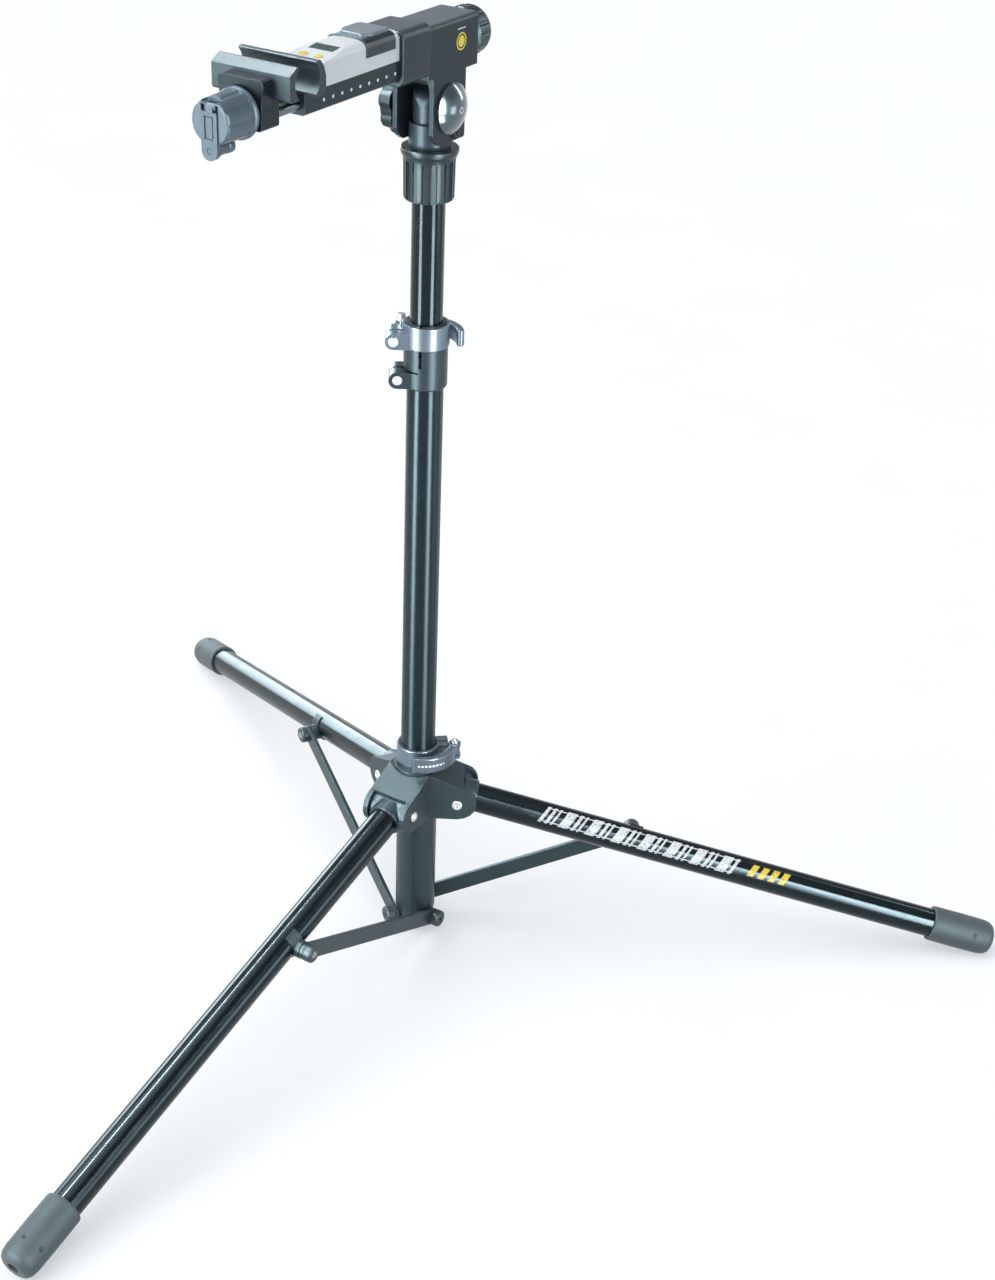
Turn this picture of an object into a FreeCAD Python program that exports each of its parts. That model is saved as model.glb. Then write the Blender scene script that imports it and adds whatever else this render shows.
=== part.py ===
import FreeCAD, Part
import os
from math import sin, cos, tan, radians, degrees, pi, sqrt, atan2
from FreeCAD import Vector as V

os.makedirs("parts", exist_ok=True)

# ------------------------------------------------------------------ sizes (mm)
# Frame: Z up, floor at z = 0, mast axis on Z, clamp arm and leg 1 point to -Y.
UPPER_R, UPPER_WALL = 15.9, 2.0          # telescoping upper tube, 31.8 mm
MAIN_R, MAIN_IN_R = 18.2, 16.3           # main mast tube, 36.4 mm
SLEEVE_R = 21.7                          # outer base sleeve, 43.4 mm
SLEEVE_Z0, SLEEVE_Z1 = 30.5, 159.9
MAIN_Z0, MAIN_Z1 = 20.0, 690.0
UPPER_Z0, UPPER_Z1 = 190.0, 884.0

LEG_R, LEG_WALL = 15.9, 1.8              # leg tube, 31.8 mm
LEG_PIVOT_R, LEG_PIVOT_Z = 44.7, 181.7   # hinge radius from the mast, height
LEG_DROP = 15.145                        # leg angle below horizontal, degrees
LEG_LEN = 620.9                          # hinge to the end of the foot cap
CAP_R, CAP_LEN = 19.3, 72.0              # rubber foot cap
FOLD_ANGLE = 82.0                        # leg angle below horizontal when folded

STRUT_D, STRUT_E = 200.0, 4.0            # strut pin along the leg, and below its axis
STRUT_X0, STRUT_T, STRUT_W = 22.2, 5.0, 18.0
BASE_PIN_R, BASE_PIN_Z = 2.0, 24.0       # lower strut pin
KNOB_R, KNOB_L = 9.2, 8.6

EAR_HALF, EAR_T = 25.8, 5.6              # clevis ears of the hub
HUB_Z0 = 160.0
RING_Z0, RING_Z1 = 224.0, 244.0          # hub clamp ring

COLLAR_Z0, COLLAR_Z1 = 656.0, 697.8      # collar on the mast's upper end
URING_Z0, URING_Z1 = 698.0, 721.0        # upper clamp ring
CLAMP_AZ = 33.269                        # azimuth that the clamp ears are square to

LOCK_Z0, LOCK_Z1 = 843.0, 892.5          # ribbed lock sleeve
LOCK_R, LOCK_TOP_R = 23.8, 27.4
TILT_Z = 931.0                           # tilt axle height
FORK_IN, FORK_OUT = 17.4, 22.0           # fork cheeks, half widths
HOUSE_Y0, HOUSE_Y1 = -38.0, 44.0
HOUSE_Z0, HOUSE_Z1 = 966.0, 1010.0
ARM_Z = 987.0                            # arm's rotation axis height
SCREW_Z = 984.5                          # clamp screw height
COLLAR_HALF = 24.5
ARM_HALF = 20.5
ARM_Z0, ARM_SPLIT, ARM_Z1 = 971.5, 990.0, 1011.0
ARM_Y0, ARM_Y1 = -82.0, -218.5           # arm from its collar to its nose
JAW_Y, JAW_Z, JAW_R = -239.5, 1007.5, 17.0   # centre of the clamped tube, groove radius
JAW_HALF = 39.5
JAW_LIP = 11.5                           # from centre to each jaw's lips
KNOB_Y0, KNOB_Y1 = -279.4, -316.0


# ------------------------------------------------------------------ helpers
def cyl(r, p, d, h):
    return Part.makeCylinder(r, h, V(*p), V(*d))


def tube(ro, ri, p, d, h):
    return cyl(ro, p, d, h).cut(cyl(ri, p, d, h))


def box(x0, x1, y0, y1, z0, z1):
    return Part.makeBox(x1 - x0, y1 - y0, z1 - z0, V(x0, y0, z0))


def prism_x(pts, x0, x1):
    """Closed (y, z) outline pushed along X."""
    w = Part.makePolygon([V(x0, y, z) for y, z in pts] + [V(x0, pts[0][0], pts[0][1])])
    return Part.Face(w).extrude(V(x1 - x0, 0, 0))


def prism_y(pts, y0, y1):
    """Closed (x, z) outline pushed along Y."""
    w = Part.makePolygon([V(x, y0, z) for x, z in pts] + [V(pts[0][0], y0, pts[0][1])])
    return Part.Face(w).extrude(V(0, y1 - y0, 0))


def prism_z(pts, z0, z1):
    w = Part.makePolygon([V(x, y, z0) for x, y in pts] + [V(pts[0][0], pts[0][1], z0)])
    return Part.Face(w).extrude(V(0, 0, z1 - z0))


def revolve_z(pts, at=(0, 0, 0)):
    """Closed (r, z) outline turned about Z."""
    w = Part.makePolygon([V(r, 0, z) for r, z in pts] + [V(pts[0][0], 0, pts[0][1])])
    s = Part.Face(w).revolve(V(0, 0, 0), V(0, 0, 1), 360)
    s.translate(V(*at))
    return s


def turn(s, axis, ang, at=(0, 0, 0)):
    s = s.copy()
    s.rotate(V(*at), V(*axis), ang)
    return s


def fuse(*ss):
    s = ss[0]
    for t in ss[1:]:
        s = s.fuse(t)
    return s.removeSplitter()


def cut(s, *ts):
    for t in ts:
        s = s.cut(t)
    return s


def fillet(s, r, pick):
    """Round the edges that pick(edge) accepts, one size down if the first fails."""
    for k in (1.0, 0.7, 0.45):
        es = [e for e in s.Edges if pick(e)]
        if not es:
            return s
        try:
            f = s.makeFillet(r * k, es)
            if f.isValid() and abs(f.Volume) > 0.5 * abs(s.Volume):
                return f
        except Exception:
            pass
    print("fillet left out", r, len(es))
    return s


def along(e, axis, tol=1e-3):
    """True for a straight edge parallel to axis 0, 1 or 2."""
    if len(e.Vertexes) != 2 or e.Curve.TypeId != "Part::GeomLine":
        return False
    d = e.Vertexes[1].Point - e.Vertexes[0].Point
    c = [abs(d.x), abs(d.y), abs(d.z)]
    return c[axis] > tol and max(c[(axis + 1) % 3], c[(axis + 2) % 3]) < tol


def rrect_y(hx, z0, z1, r, y0, y1):
    """Box along Y with its four long edges rounded."""
    b = box(-hx, hx, min(y0, y1), max(y0, y1), z0, z1)
    return b.makeFillet(r, [e for e in b.Edges if along(e, 1)])


def star(r, depth, n, z0, z1, w, taper=0.0):
    """Ribbed grip: a cylinder with n shallow flutes of half width w."""
    s = cyl(r, (0, 0, z0), (0, 0, 1), z1 - z0)
    for i in range(n):
        a = 2 * pi * i / n
        rr = w
        c = cyl(rr, ((r + rr - depth) * cos(a), (r + rr - depth) * sin(a), z0 - 1), (0, 0, 1), z1 - z0 + 2)
        s = s.cut(c)
    return s


nodes = {}


def out(name, *solids):
    sol = []
    for s in solids:
        sol += s.Solids
    assert sol, name
    nodes[name] = sol


def pose(s, frm_axis, to_axis, at):
    """Turn a shape built on +Z at the origin so that +Z points to to_axis, then move it."""
    s = s.copy()
    r = FreeCAD.Rotation(V(*frm_axis), V(*to_axis))
    s.Placement = FreeCAD.Placement(V(*at), r).multiply(s.Placement)
    return s


Z = (0, 0, 1)
O = (0, 0, 0)

# ------------------------------------------------------------------ mast, fixed
out("main_mast_tube", tube(MAIN_R, MAIN_IN_R, (0, 0, MAIN_Z0), Z, MAIN_Z1 - MAIN_Z0))

slv = tube(SLEEVE_R, MAIN_R, (0, 0, SLEEVE_Z0), Z, SLEEVE_Z1 - SLEEVE_Z0)
slv = fillet(slv, 2.0, lambda e: e.Curve.TypeId == "Part::GeomCircle" and abs(e.Curve.Radius - SLEEVE_R) < 1e-3
             and abs(e.CenterOfMass.z - SLEEVE_Z0) < 0.1)
# shallow flutes down the sleeve
for a in (-62.0, 58.0, 178.0):
    slv = slv.cut(turn(box(SLEEVE_R - 0.7, SLEEVE_R + 1, -0.6, 0.6, SLEEVE_Z0 + 4, SLEEVE_Z1 + 1), Z, a))
out("base_sleeve", slv)

# bracket under the sleeve: a boss with three tangential lugs, and a plug inside the tube
BR_Z0 = 14.0
br = revolve_z([(0, BR_Z0), (18.4, BR_Z0), (19.9, BR_Z0 + 0.6), (20.6, BR_Z0 + 2.2), (20.6, SLEEVE_Z0), (MAIN_R, SLEEVE_Z0), (MAIN_R, MAIN_Z0),
                (MAIN_IN_R, MAIN_Z0), (MAIN_IN_R, MAIN_Z0 + 30.0), (0, MAIN_Z0 + 30.0)])
lug0 = cyl(6.4, (12.0, -BASE_PIN_R, BASE_PIN_Z), (1, 0, 0), STRUT_X0 - 0.3 - 12.0).cut(cyl(MAIN_R + 1.0, (0, 0, 0), Z, 60))
pin_hole = cyl(4.0, (15.0, -BASE_PIN_R, BASE_PIN_Z), (1, 0, 0), 20).cut(cyl(MAIN_R + 0.05, (0, 0, 0), Z, 60))
for i in range(3):
    br = br.fuse(turn(lug0, Z, 120 * i))
for i in range(3):
    br = br.cut(turn(pin_hole, Z, 120 * i))
out("base_bracket", br)


def knob_bolt(x_face, x_head, x_tip):
    """Cap-headed strut bolt along +X: shank, round cap with a domed rim and a hex socket."""
    head = cyl(KNOB_R, (x_head, 0, 0), (1, 0, 0), KNOB_L)
    head = fillet(head, 2.4, lambda e: e.Curve.TypeId == "Part::GeomCircle" and abs(e.CenterOfMass.x - x_head - KNOB_L) < 0.01)
    head = head.fuse(cyl(KNOB_R - 1.3, (x_head - 0.01, 0, 0), (1, 0, 0), 0.02))
    sock = cyl(3.9, (x_head + KNOB_L - 1.4, 0, 0), (1, 0, 0), 2)
    pts = [V(x_head + KNOB_L - 3.4, 2.5 * cos(radians(60 * k)), 2.5 * sin(radians(60 * k))) for k in range(7)]
    hexa = Part.Face(Part.makePolygon(pts)).extrude(V(3, 0, 0))
    head = head.cut(sock).fuse(cyl(3.7, (x_head + KNOB_L - 2.6, 0, 0), (1, 0, 0), 2.2)).cut(hexa)
    return head.fuse(cyl(4.0, (x_tip, 0, 0), (1, 0, 0), x_head - x_tip + 0.1)).removeSplitter()


X_HEAD = STRUT_X0 + STRUT_T + 0.25
base_bolt = knob_bolt(0, X_HEAD, 15.2)
base_bolt.translate(V(0, -BASE_PIN_R, BASE_PIN_Z))
# shank starts outside the mast tube
core = cyl(MAIN_R + 0.05, (0, 0, 0), Z, 60)
out("bracket_knobs", *[turn(base_bolt, Z, 120 * i).cut(core) for i in range(3)])

# ------------------------------------------------------------------ mast collar and upper clamp
RT = (cos(radians(CLAMP_AZ)), sin(radians(CLAMP_AZ)), 0.0)


def cl(shape):
    """From clamp axes (x to the lever side, -y to the ear's face) to the frame."""
    return turn(shape, Z, CLAMP_AZ)


col = cyl(21.6, (0, 0, COLLAR_Z0), Z, COLLAR_Z1 - COLLAR_Z0)
col = fillet(col, 2.2, lambda e: e.Curve.TypeId == "Part::GeomCircle" and abs(e.CenterOfMass.z - COLLAR_Z0) < 0.1)
neck = cyl(20.2, (0, 0, COLLAR_Z1 - 0.1), Z, URING_Z1 - 0.6 - COLLAR_Z1)
ear = box(-31.5, -10, -17.0, -3.0, 657.5, 674.5)
ear = ear.fuse(cyl(8.5, (-27.0, -17.0, 666.0), (0, 1, 0), 14.0)).cut(box(-60, -27.0, -20, 0, 650, 657.5)).cut(box(-60, -27.0, -20, 0, 674.5, 690))
ear = box(-27.0, -10, -17.0, -3.0, 657.5, 674.5).fuse(cyl(8.5, (-27.0, -17.0, 666.0), (0, 1, 0), 14.0))
ear2 = box(-27.0, -10, -0.5, 12.0, 657.5, 674.5).fuse(cyl(8.5, (-27.0, -0.5, 666.0), (0, 1, 0), 12.5))
col = fuse(col, neck, cl(ear), cl(ear2))
col = cut(col, cyl(MAIN_R, (0, 0, COLLAR_Z0 - 1), Z, MAIN_Z1 + 0.05 - COLLAR_Z0 + 1), cyl(17.4, (0, 0, MAIN_Z1 - 1), Z, 60),
          cl(box(-40, -14, -3.0, -0.5, COLLAR_Z0 - 1, 675.5)),           # pinch slit
          cl(box(-24, -7.0, -30, 0, 673.8, 675.6)),                       # level slit
          cl(box(-6.6, -3.6, -30, 0, 680.0, URING_Z1 + 1)),               # split of the neck
          cl(cyl(2.6, (-27.0, -30, 666.0), (0, 1, 0), 50)),
          cl(cyl(4.9, (-27.0, -30.01, 666.0), (0, 1, 0), 15.4)))
out("mast_collar", col.removeSplitter())
pb = fuse(cyl(2.55, (-27.0, -16.6, 666.0), (0, 1, 0), 27.6), cyl(4.7, (-27.0, -16.9, 666.0), (0, 1, 0), 2.2))
pb = pb.cut(Part.Face(Part.makePolygon([V(-27 + 2.2 * cos(radians(60 * k)), -17, 666.0 + 2.2 * sin(radians(60 * k))) for k in range(7)])).extrude(V(0, 1.6, 0)))
# split plastic bush that guides the upper tube
bush = fuse(tube(17.4, 15.96, (0, 0, MAIN_Z1 + 0.1), Z, URING_Z1 - MAIN_Z1 - 0.1), tube(19.6, 15.96, (0, 0, URING_Z1 - 0.55), Z, 1.4))
bush = bush.cut(cl(box(-6.1, -4.1, -30, 0, MAIN_Z1, URING_Z1 + 5)))
out("collar_liner", bush)

ur = tube(22.8, 20.25, (0, 0, URING_Z0), Z, URING_Z1 - URING_Z0)
ur = fillet(ur, 0.9, lambda e: e.Curve.TypeId == "Part::GeomCircle" and abs(e.Curve.Radius - 22.8) < 1e-3)
ez0, ez1 = 697.9, 713.9
f_ear = box(-31.3, -10, -17.6, -7.2, ez0, ez1).fuse(cyl(8.0, (-31.3, -17.6, 705.9), (0, 1, 0), 10.4))
r_ear = box(-31.3, -10, -4.2, 10.5, ez0, ez1).fuse(cyl(8.0, (-31.3, -4.2, 705.9), (0, 1, 0), 14.7))
knuck = fuse(cyl(5.6, (-24.0, 17.0, 701.6), Z, 8.6), box(-29.6, -18.4, 8.0, 17.0, 701.6, 710.2))
ur = fuse(ur, cl(f_ear), cl(r_ear), cl(knuck))
ur = cut(ur, cyl(20.25, (0, 0, 690), Z, 40), cl(box(-50, -16.0, -7.2, -4.2, 690, 730)),
         cl(cyl(3.05, (-31.3, -20, 705.9), (0, 1, 0), 40)), cl(cyl(4.9, (-31.3, -18, 705.9), (0, 1, 0), 1.6)),
         cl(cyl(2.5, (-24.0, 17.0, 690), Z, 40)))
ur = ur.cut(cyl(30, (0, 0, 690), Z, 0.01))
ur = ur.common(fuse(box(-60, 60, -60, 60, 697.85, 730)))
# nothing of the ring reaches into the collar below it
out("upper_clamp_ring", ur.cut(cyl(21.7, (0, 0, 690), Z, COLLAR_Z1 + 0.05 - 690)).removeSplitter())
ub = fuse(cyl(3.0, (-31.3, -17.3, 705.9), (0, 1, 0), 27.7), cyl(4.7, (-31.3, -18.9, 705.9), (0, 1, 0), 2.4))
pin = fuse(cyl(2.45, (-24.0, 17.0, 694.6), Z, 22.4), cyl(5.0, (-24.0, 17.0, 715.6), Z, 2.2), cyl(3.9, (-24.0, 17.0, 717.7), Z, 4.2))
pin = pin.cut(box(-30, -18, 16.4, 17.6, 720.6, 724))
out("upper_clamp_hardware", cl(ub), cl(pin), cl(pb))


def lever(pivot, start_az, end_az, r_mid0, r_mid1, th0, th1, zlo, zhi, eye_r, gap_lo, gap_hi, hole, gap_r):
    """Cam lever: a forked eye on a vertical pin and a tapering arc round the ring."""
    n = 22
    inner, outer = [], []
    for k in range(n + 1):
        t = k / n
        a = radians(start_az + (end_az - start_az) * t)
        rm = r_mid0 + (r_mid1 - r_mid0) * t
        th = th0 + (th1 - th0) * t
        inner.append((rm - th / 2, a))
        outer.append((rm + th / 2, a))
    pts_i = [V(r * cos(a), r * sin(a), zlo) for r, a in inner]
    pts_o = [V(r * cos(a), r * sin(a), zlo) for r, a in outer]
    bi = Part.BSplineCurve(); bi.interpolate(pts_i)
    bo = Part.BSplineCurve(); bo.interpolate(pts_o)
    e1, e2 = bi.toShape(), bo.toShape()
    l1 = Part.LineSegment(pts_i[-1], pts_o[-1]).toShape()
    l2 = Part.LineSegment(pts_o[0], pts_i[0]).toShape()
    body = Part.Face(Part.Wire([e1, l1, e2, l2])).extrude(V(0, 0, zhi - zlo))
    tip_r = th1 / 2
    a = radians(end_az)
    rm = r_mid1
    tip = cyl(tip_r, (rm * cos(a), rm * sin(a), zlo), Z, zhi - zlo)
    eye = cyl(eye_r, (pivot[0], pivot[1], zlo), Z, zhi - zlo)
    s = fuse(body, tip, eye)
    s = s.cut(cyl(gap_r, (pivot[0], pivot[1], gap_lo), Z, gap_hi - gap_lo))
    s = s.cut(cyl(hole, (pivot[0], pivot[1], zlo - 1), Z, zhi - zlo + 2))
    return s


# upper lever: from the rear knuckle round the back of the ring to the right
p_up = (-24.0, 17.0)
a_up = degrees(atan2(p_up[1], p_up[0]))
ul = lever(p_up, a_up - 6.0, 2.0, 29.6, 33.2, 8.6, 7.4, 696.6, 713.4, 6.2, 701.2, 710.6, 2.5, 11.3)
ul = cut(ul, box(-29.9, -18.2, 6.0, 17.0, 701.2, 710.6), cyl(23.05, (0, 0, 690), Z, 40), box(-60, -10, -30, 10.7, 690, 720))
for rr in (1.8, 1.2, 0.7):
    ul2 = fillet(ul, rr, lambda e: e.Curve.TypeId == "Part::GeomBSplineCurve" and e.Length > 20 and (abs(e.CenterOfMass.z - 696.6) < 0.05 or abs(e.CenterOfMass.z - 713.4) < 0.05))
    if abs(ul2.Volume - ul.Volume) > 1.0:
        ul = ul2
        break
out("upper_lever", cl(ul))

# ------------------------------------------------------------------ hub (slides on the mast)
alpha = radians(LEG_DROP)
PZ, PR = LEG_PIVOT_Z, LEG_PIVOT_R
# side outline of one lobe (radius, height), then rounded by the ear circle
line_top = lambda r: 217.7 - 0.4499 * (r - 14.9)
lobe_pts = [(0, 163.5), (PR, 163.5), (PR + 8, 165.2), (PR + 14.5, 169.2), (PR + 18.8, 174.6), (PR + 20.6, 181.0), (PR + 20.3, 187.4),
            (PR + 18.2, 193.2), (PR + 14.6, 197.6), (PR + 9.4, 200.6), (49.8, line_top(49.8)), (14.9, 217.7), (0, 217.7)]


def lobe(half):
    return prism_x([(-r, z) for r, z in lobe_pts], -half, half)


lobe1 = lobe(EAR_HALF)
lobe1 = fillet(lobe1, 1.0, lambda e: along(e, 0) and e.CenterOfMass.y < -PR - 6)
slot_half = EAR_HALF - EAR_T
slot = prism_x([(-24.8, 150.0), (-90, 150.0), (-90, 230.0), (-50.2, 230.0), (-50.2, line_top(50.2) - 3.2), (-24.8, line_top(24.8) - 3.2)],
               -slot_half, slot_half)
hub = None
for i in range(3):
    l = turn(lobe1, Z, 120 * i)
    hub = l if hub is None else hub.fuse(l)
for i in range(3):
    hub = hub.cut(turn(slot, Z, 120 * i))
barrel = cyl(24.8, (0, 0, HUB_Z0), Z, 218.6 - HUB_Z0)
barrel = fillet(barrel, 1.2, lambda e: e.Curve.TypeId == "Part::GeomCircle" and e.CenterOfMass.z > 200)
hub = hub.fuse(barrel)
hub = hub.fuse(cyl(22.4, (0, 0, 218.0), Z, RING_Z0 - 0.1 - 218.0)).fuse(cyl(20.3, (0, 0, 218.0), Z, 243.4 - 218.0))
hub = hub.cut(cyl(19.3, (0, 0, 150), Z, 110))
bolt_hole = cyl(4.0, (-40, -PR, PZ), (1, 0, 0), 80)
cbore = fuse(cyl(6.0, (EAR_HALF - 1.6, -PR, PZ), (1, 0, 0), 10), cyl(6.0, (-EAR_HALF + 1.6 - 10, -PR, PZ), (1, 0, 0), 10))
for i in range(3):
    hub = hub.cut(turn(bolt_hole, Z, 120 * i)).cut(turn(cbore, Z, 120 * i))
HUB_SLIT_AZ = -58.0
hub = hub.cut(turn(box(18, 26, -1.4, 1.4, 221.0, 260), Z, HUB_SLIT_AZ))
out("hub_body", hub.removeSplitter())
hl = fuse(tube(19.3, 18.26, (0, 0, HUB_Z0), Z, 244.6 - HUB_Z0), tube(20.2, 18.26, (0, 0, 243.45), Z, 1.3))
hl = hl.cut(turn(box(17, 26, -1.0, 1.0, 221.0, 260), Z, HUB_SLIT_AZ))
out("hub_liner", hl)

# leg pivot bolts: shank between two silver button heads
bolt = fuse(cyl(3.95, (-EAR_HALF + 1.0, -PR, PZ), (1, 0, 0), 2 * EAR_HALF - 2.0),
            cyl(5.6, (EAR_HALF - 1.55, -PR, PZ), (1, 0, 0), 3.0), cyl(5.6, (-EAR_HALF - 1.45, -PR, PZ), (1, 0, 0), 3.0))
bolt = fillet(bolt, 1.1, lambda e: e.Curve.TypeId == "Part::GeomCircle" and abs(abs(e.CenterOfMass.x) - EAR_HALF - 1.45) < 0.01)
for sx in (1, -1):
    x = sx * (EAR_HALF + 1.5)
    pts = [V(x, -PR + 3.1 * cos(radians(60 * k)), PZ + 3.1 * sin(radians(60 * k))) for k in range(7)]
    bolt = bolt.cut(Part.Face(Part.makePolygon(pts)).extrude(V(-sx * 2.0, 0, 0)))
out("leg_pivot_bolts", *[turn(bolt, Z, 120 * i) for i in range(3)])

# hub clamp ring with its ears and the lever's knuckle at azimuth HUB_EAR
HUB_EAR = 40.5
hr = tube(22.6, 20.35, (0, 0, RING_Z0), Z, RING_Z1 - RING_Z0)
hr = fillet(hr, 0.9, lambda e: e.Curve.TypeId == "Part::GeomCircle" and abs(e.Curve.Radius - 22.6) < 1e-3)
ea = box(16, 32.6, 2.2, 11.0, RING_Z0 + 1.0, RING_Z1 - 1.0)
eb = box(16, 32.6, -7.4, -0.8, RING_Z0 + 1.0, RING_Z1 - 1.0)
kn = fuse(cyl(5.6, (39.2, -4.1, 230.2), Z, 8.6), box(28, 39.2, -7.4, -0.8, 230.2, 238.8))
hr = fuse(hr, turn(ea, Z, HUB_EAR), turn(eb, Z, HUB_EAR), turn(kn, Z, HUB_EAR))
hr = cut(hr, cyl(20.35, (0, 0, 200), Z, 60), turn(box(18, 60, -0.8, 2.2, 200, 260), Z, HUB_EAR),
         turn(cyl(2.6, (28.6, -20, 234.0), (0, 1, 0), 40), Z, HUB_EAR), turn(cyl(2.5, (39.2, -4.1, 200), Z, 60), Z, HUB_EAR))
out("hub_clamp_ring", hr.removeSplitter())
hb = fuse(cyl(2.55, (28.6, -7.6, 234.0), (0, 1, 0), 19.6), cyl(4.4, (28.6, 11.1, 234.0), (0, 1, 0), 2.6), cyl(4.0, (28.6, -9.4, 234.0), (0, 1, 0), 1.95))
hp = fuse(cyl(2.45, (39.2, -4.1, 224.2), Z, 20.8), cyl(4.1, (39.2, -4.1, 243.7), Z, 2.2))
hp = hp.cut(turn(cyl(1.6, (39.2, -4.1, 244.9), Z, 2), Z, 0))
out("hub_clamp_hardware", turn(hb, Z, HUB_EAR), turn(hp, Z, HUB_EAR))
ph = (39.2 * cos(radians(HUB_EAR)) + 4.1 * sin(radians(HUB_EAR)), 39.2 * sin(radians(HUB_EAR)) - 4.1 * cos(radians(HUB_EAR)))
a_h = degrees(atan2(ph[1], ph[0]))
hlv = lever(ph, a_h - 2.0, -62.0, 38.6, 30.6, 8.6, 6.6, 225.6, 243.2, 6.4, 229.8, 239.2, 2.5, 12.1)
hlv = cut(hlv, cyl(25.4, (0, 0, 200), Z, 60), turn(box(20, 32.75, -8.0, 12.0, 200, 260), Z, HUB_EAR), turn(cyl(5.0, (28.6, -13.0, 234.0), (0, 1, 0), 20), Z, HUB_EAR))
for rr in (1.8, 1.2, 0.7):
    hl2 = fillet(hlv, rr, lambda e: e.Curve.TypeId == "Part::GeomBSplineCurve" and e.Length > 20 and (abs(e.CenterOfMass.z - 225.6) < 0.05 or abs(e.CenterOfMass.z - 243.2) < 0.05))
    if abs(hl2.Volume - hlv.Volume) > 1.0:
        hlv = hl2
        break
out("hub_lever", hlv)

# ------------------------------------------------------------------ legs
dv = V(0, -cos(alpha), -sin(alpha))      # along leg 1
nv = V(0, -sin(alpha), cos(alpha))       # square to it, upwards
P0 = V(0, -PR, PZ)


def lp(d, h=0.0, x=0.0):
    p = P0 + dv * d + nv * h + V(x, 0, 0)
    return (p.x, p.y, p.z)


D = (dv.x, dv.y, dv.z)
TUBE_D0, TUBE_D1 = 6.5, LEG_LEN - 9.0
leg = tube(LEG_R, LEG_R - LEG_WALL, lp(TUBE_D0), D, TUBE_D1 - TUBE_D0)
soc = fuse(cyl(18.6, lp(3.0), D, 15.6), cyl(16.5, (-19.8, -PR, PZ), (1, 0, 0), 39.6))
soc = fillet(soc, 1.0, lambda e: e.Curve.TypeId == "Part::GeomCircle" and abs(e.Curve.Radius - 18.6) < 1e-3
             and (e.CenterOfMass - V(*lp(18.6))).Length < 1.0)
soc = soc.cut(cyl(LEG_R, lp(TUBE_D0), D, 60)).cut(cyl(4.02, (-30, -PR, PZ), (1, 0, 0), 60))
soc = soc.fuse(cyl(LEG_R - LEG_WALL, lp(TUBE_D0 - 0.2), D, 22)).cut(cyl(4.02, (-30, -PR, PZ), (1, 0, 0), 60)).removeSplitter()

# strut boss saddled on the leg's side, and a band round the tube
Q = lp(STRUT_D, -STRUT_E)
boss = cyl(9.2, (11.0, Q[1], Q[2]), (1, 0, 0), STRUT_X0 - 0.3 - 11.0)
boss = boss.fuse(tube(LEG_R + 1.5, LEG_R, lp(STRUT_D - 7.5), D, 15.0).common(box(8.5, 40, -900, 0, -100, 400)))
boss = boss.cut(cyl(LEG_R, lp(STRUT_D - 40), D, 80)).removeSplitter()

# foot cap: rounded end with a drain hole, and dimples round it
cz0, cz1 = LEG_LEN - CAP_LEN, LEG_LEN
prof = [(0, 0), (CAP_R - 1.1, 0), (CAP_R - 0.3, 0.7), (CAP_R, 2.0), (CAP_R + 0.2, 30.0), (CAP_R, CAP_LEN - 13.0), (CAP_R - 1.1, CAP_LEN - 6.2),
        (CAP_R - 3.3, CAP_LEN - 2.4), (CAP_R - 6.4, CAP_LEN - 0.5), (CAP_R - 9.5, CAP_LEN), (6.4, CAP_LEN), (6.2, CAP_LEN - 6.0), (0, CAP_LEN - 6.0)]
w = Part.makePolygon([V(r, 0, z) for r, z in prof] + [V(0, 0, 0)])
cap = Part.Face(w).revolve(V(0, 0, 0), V(0, 0, 1), 360)
cap = cap.cut(cyl(LEG_R, (0, 0, -1), Z, CAP_LEN - 9.0 + 1.0))
for k in range(6):
    a = radians(60 * k + 30)
    cap = cap.cut(Part.makeSphere(3.2, V((CAP_R + 1.6) * cos(a), (CAP_R + 1.6) * sin(a), CAP_LEN - 24.0)))
cap = pose(cap, (0, 0, 1), D, lp(cz0))
# the caps stand on the floor with a small worn flat
FLOOR = cap.BoundBox.ZMin + 0.35
for i in range(3):
    n = i + 1
    out("leg_tube_%d" % n, turn(leg, Z, 120 * i))
    out("leg_socket_%d" % n, turn(soc, Z, 120 * i))
    out("strut_boss_%d" % n, turn(boss, Z, 120 * i))
flat = cap.cut(box(-60, 60, -900, -300, -80, FLOOR))
for i in range(3):
    out("foot_cap_%d" % (i + 1), turn(flat, Z, 120 * i))

# ------------------------------------------------------------------ struts
B = (0.0, -BASE_PIN_R, BASE_PIN_Z)
dy, dz = Q[1] - B[1], Q[2] - B[2]
SL = sqrt(dy * dy + dz * dz)
su = V(0, dy / SL, dz / SL)
sn = V(0, -dz / SL, dy / SL)


def sp(d, h):
    p = V(0, B[1], B[2]) + su * d + sn * h
    return V(STRUT_X0, p.y, p.z)


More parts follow.
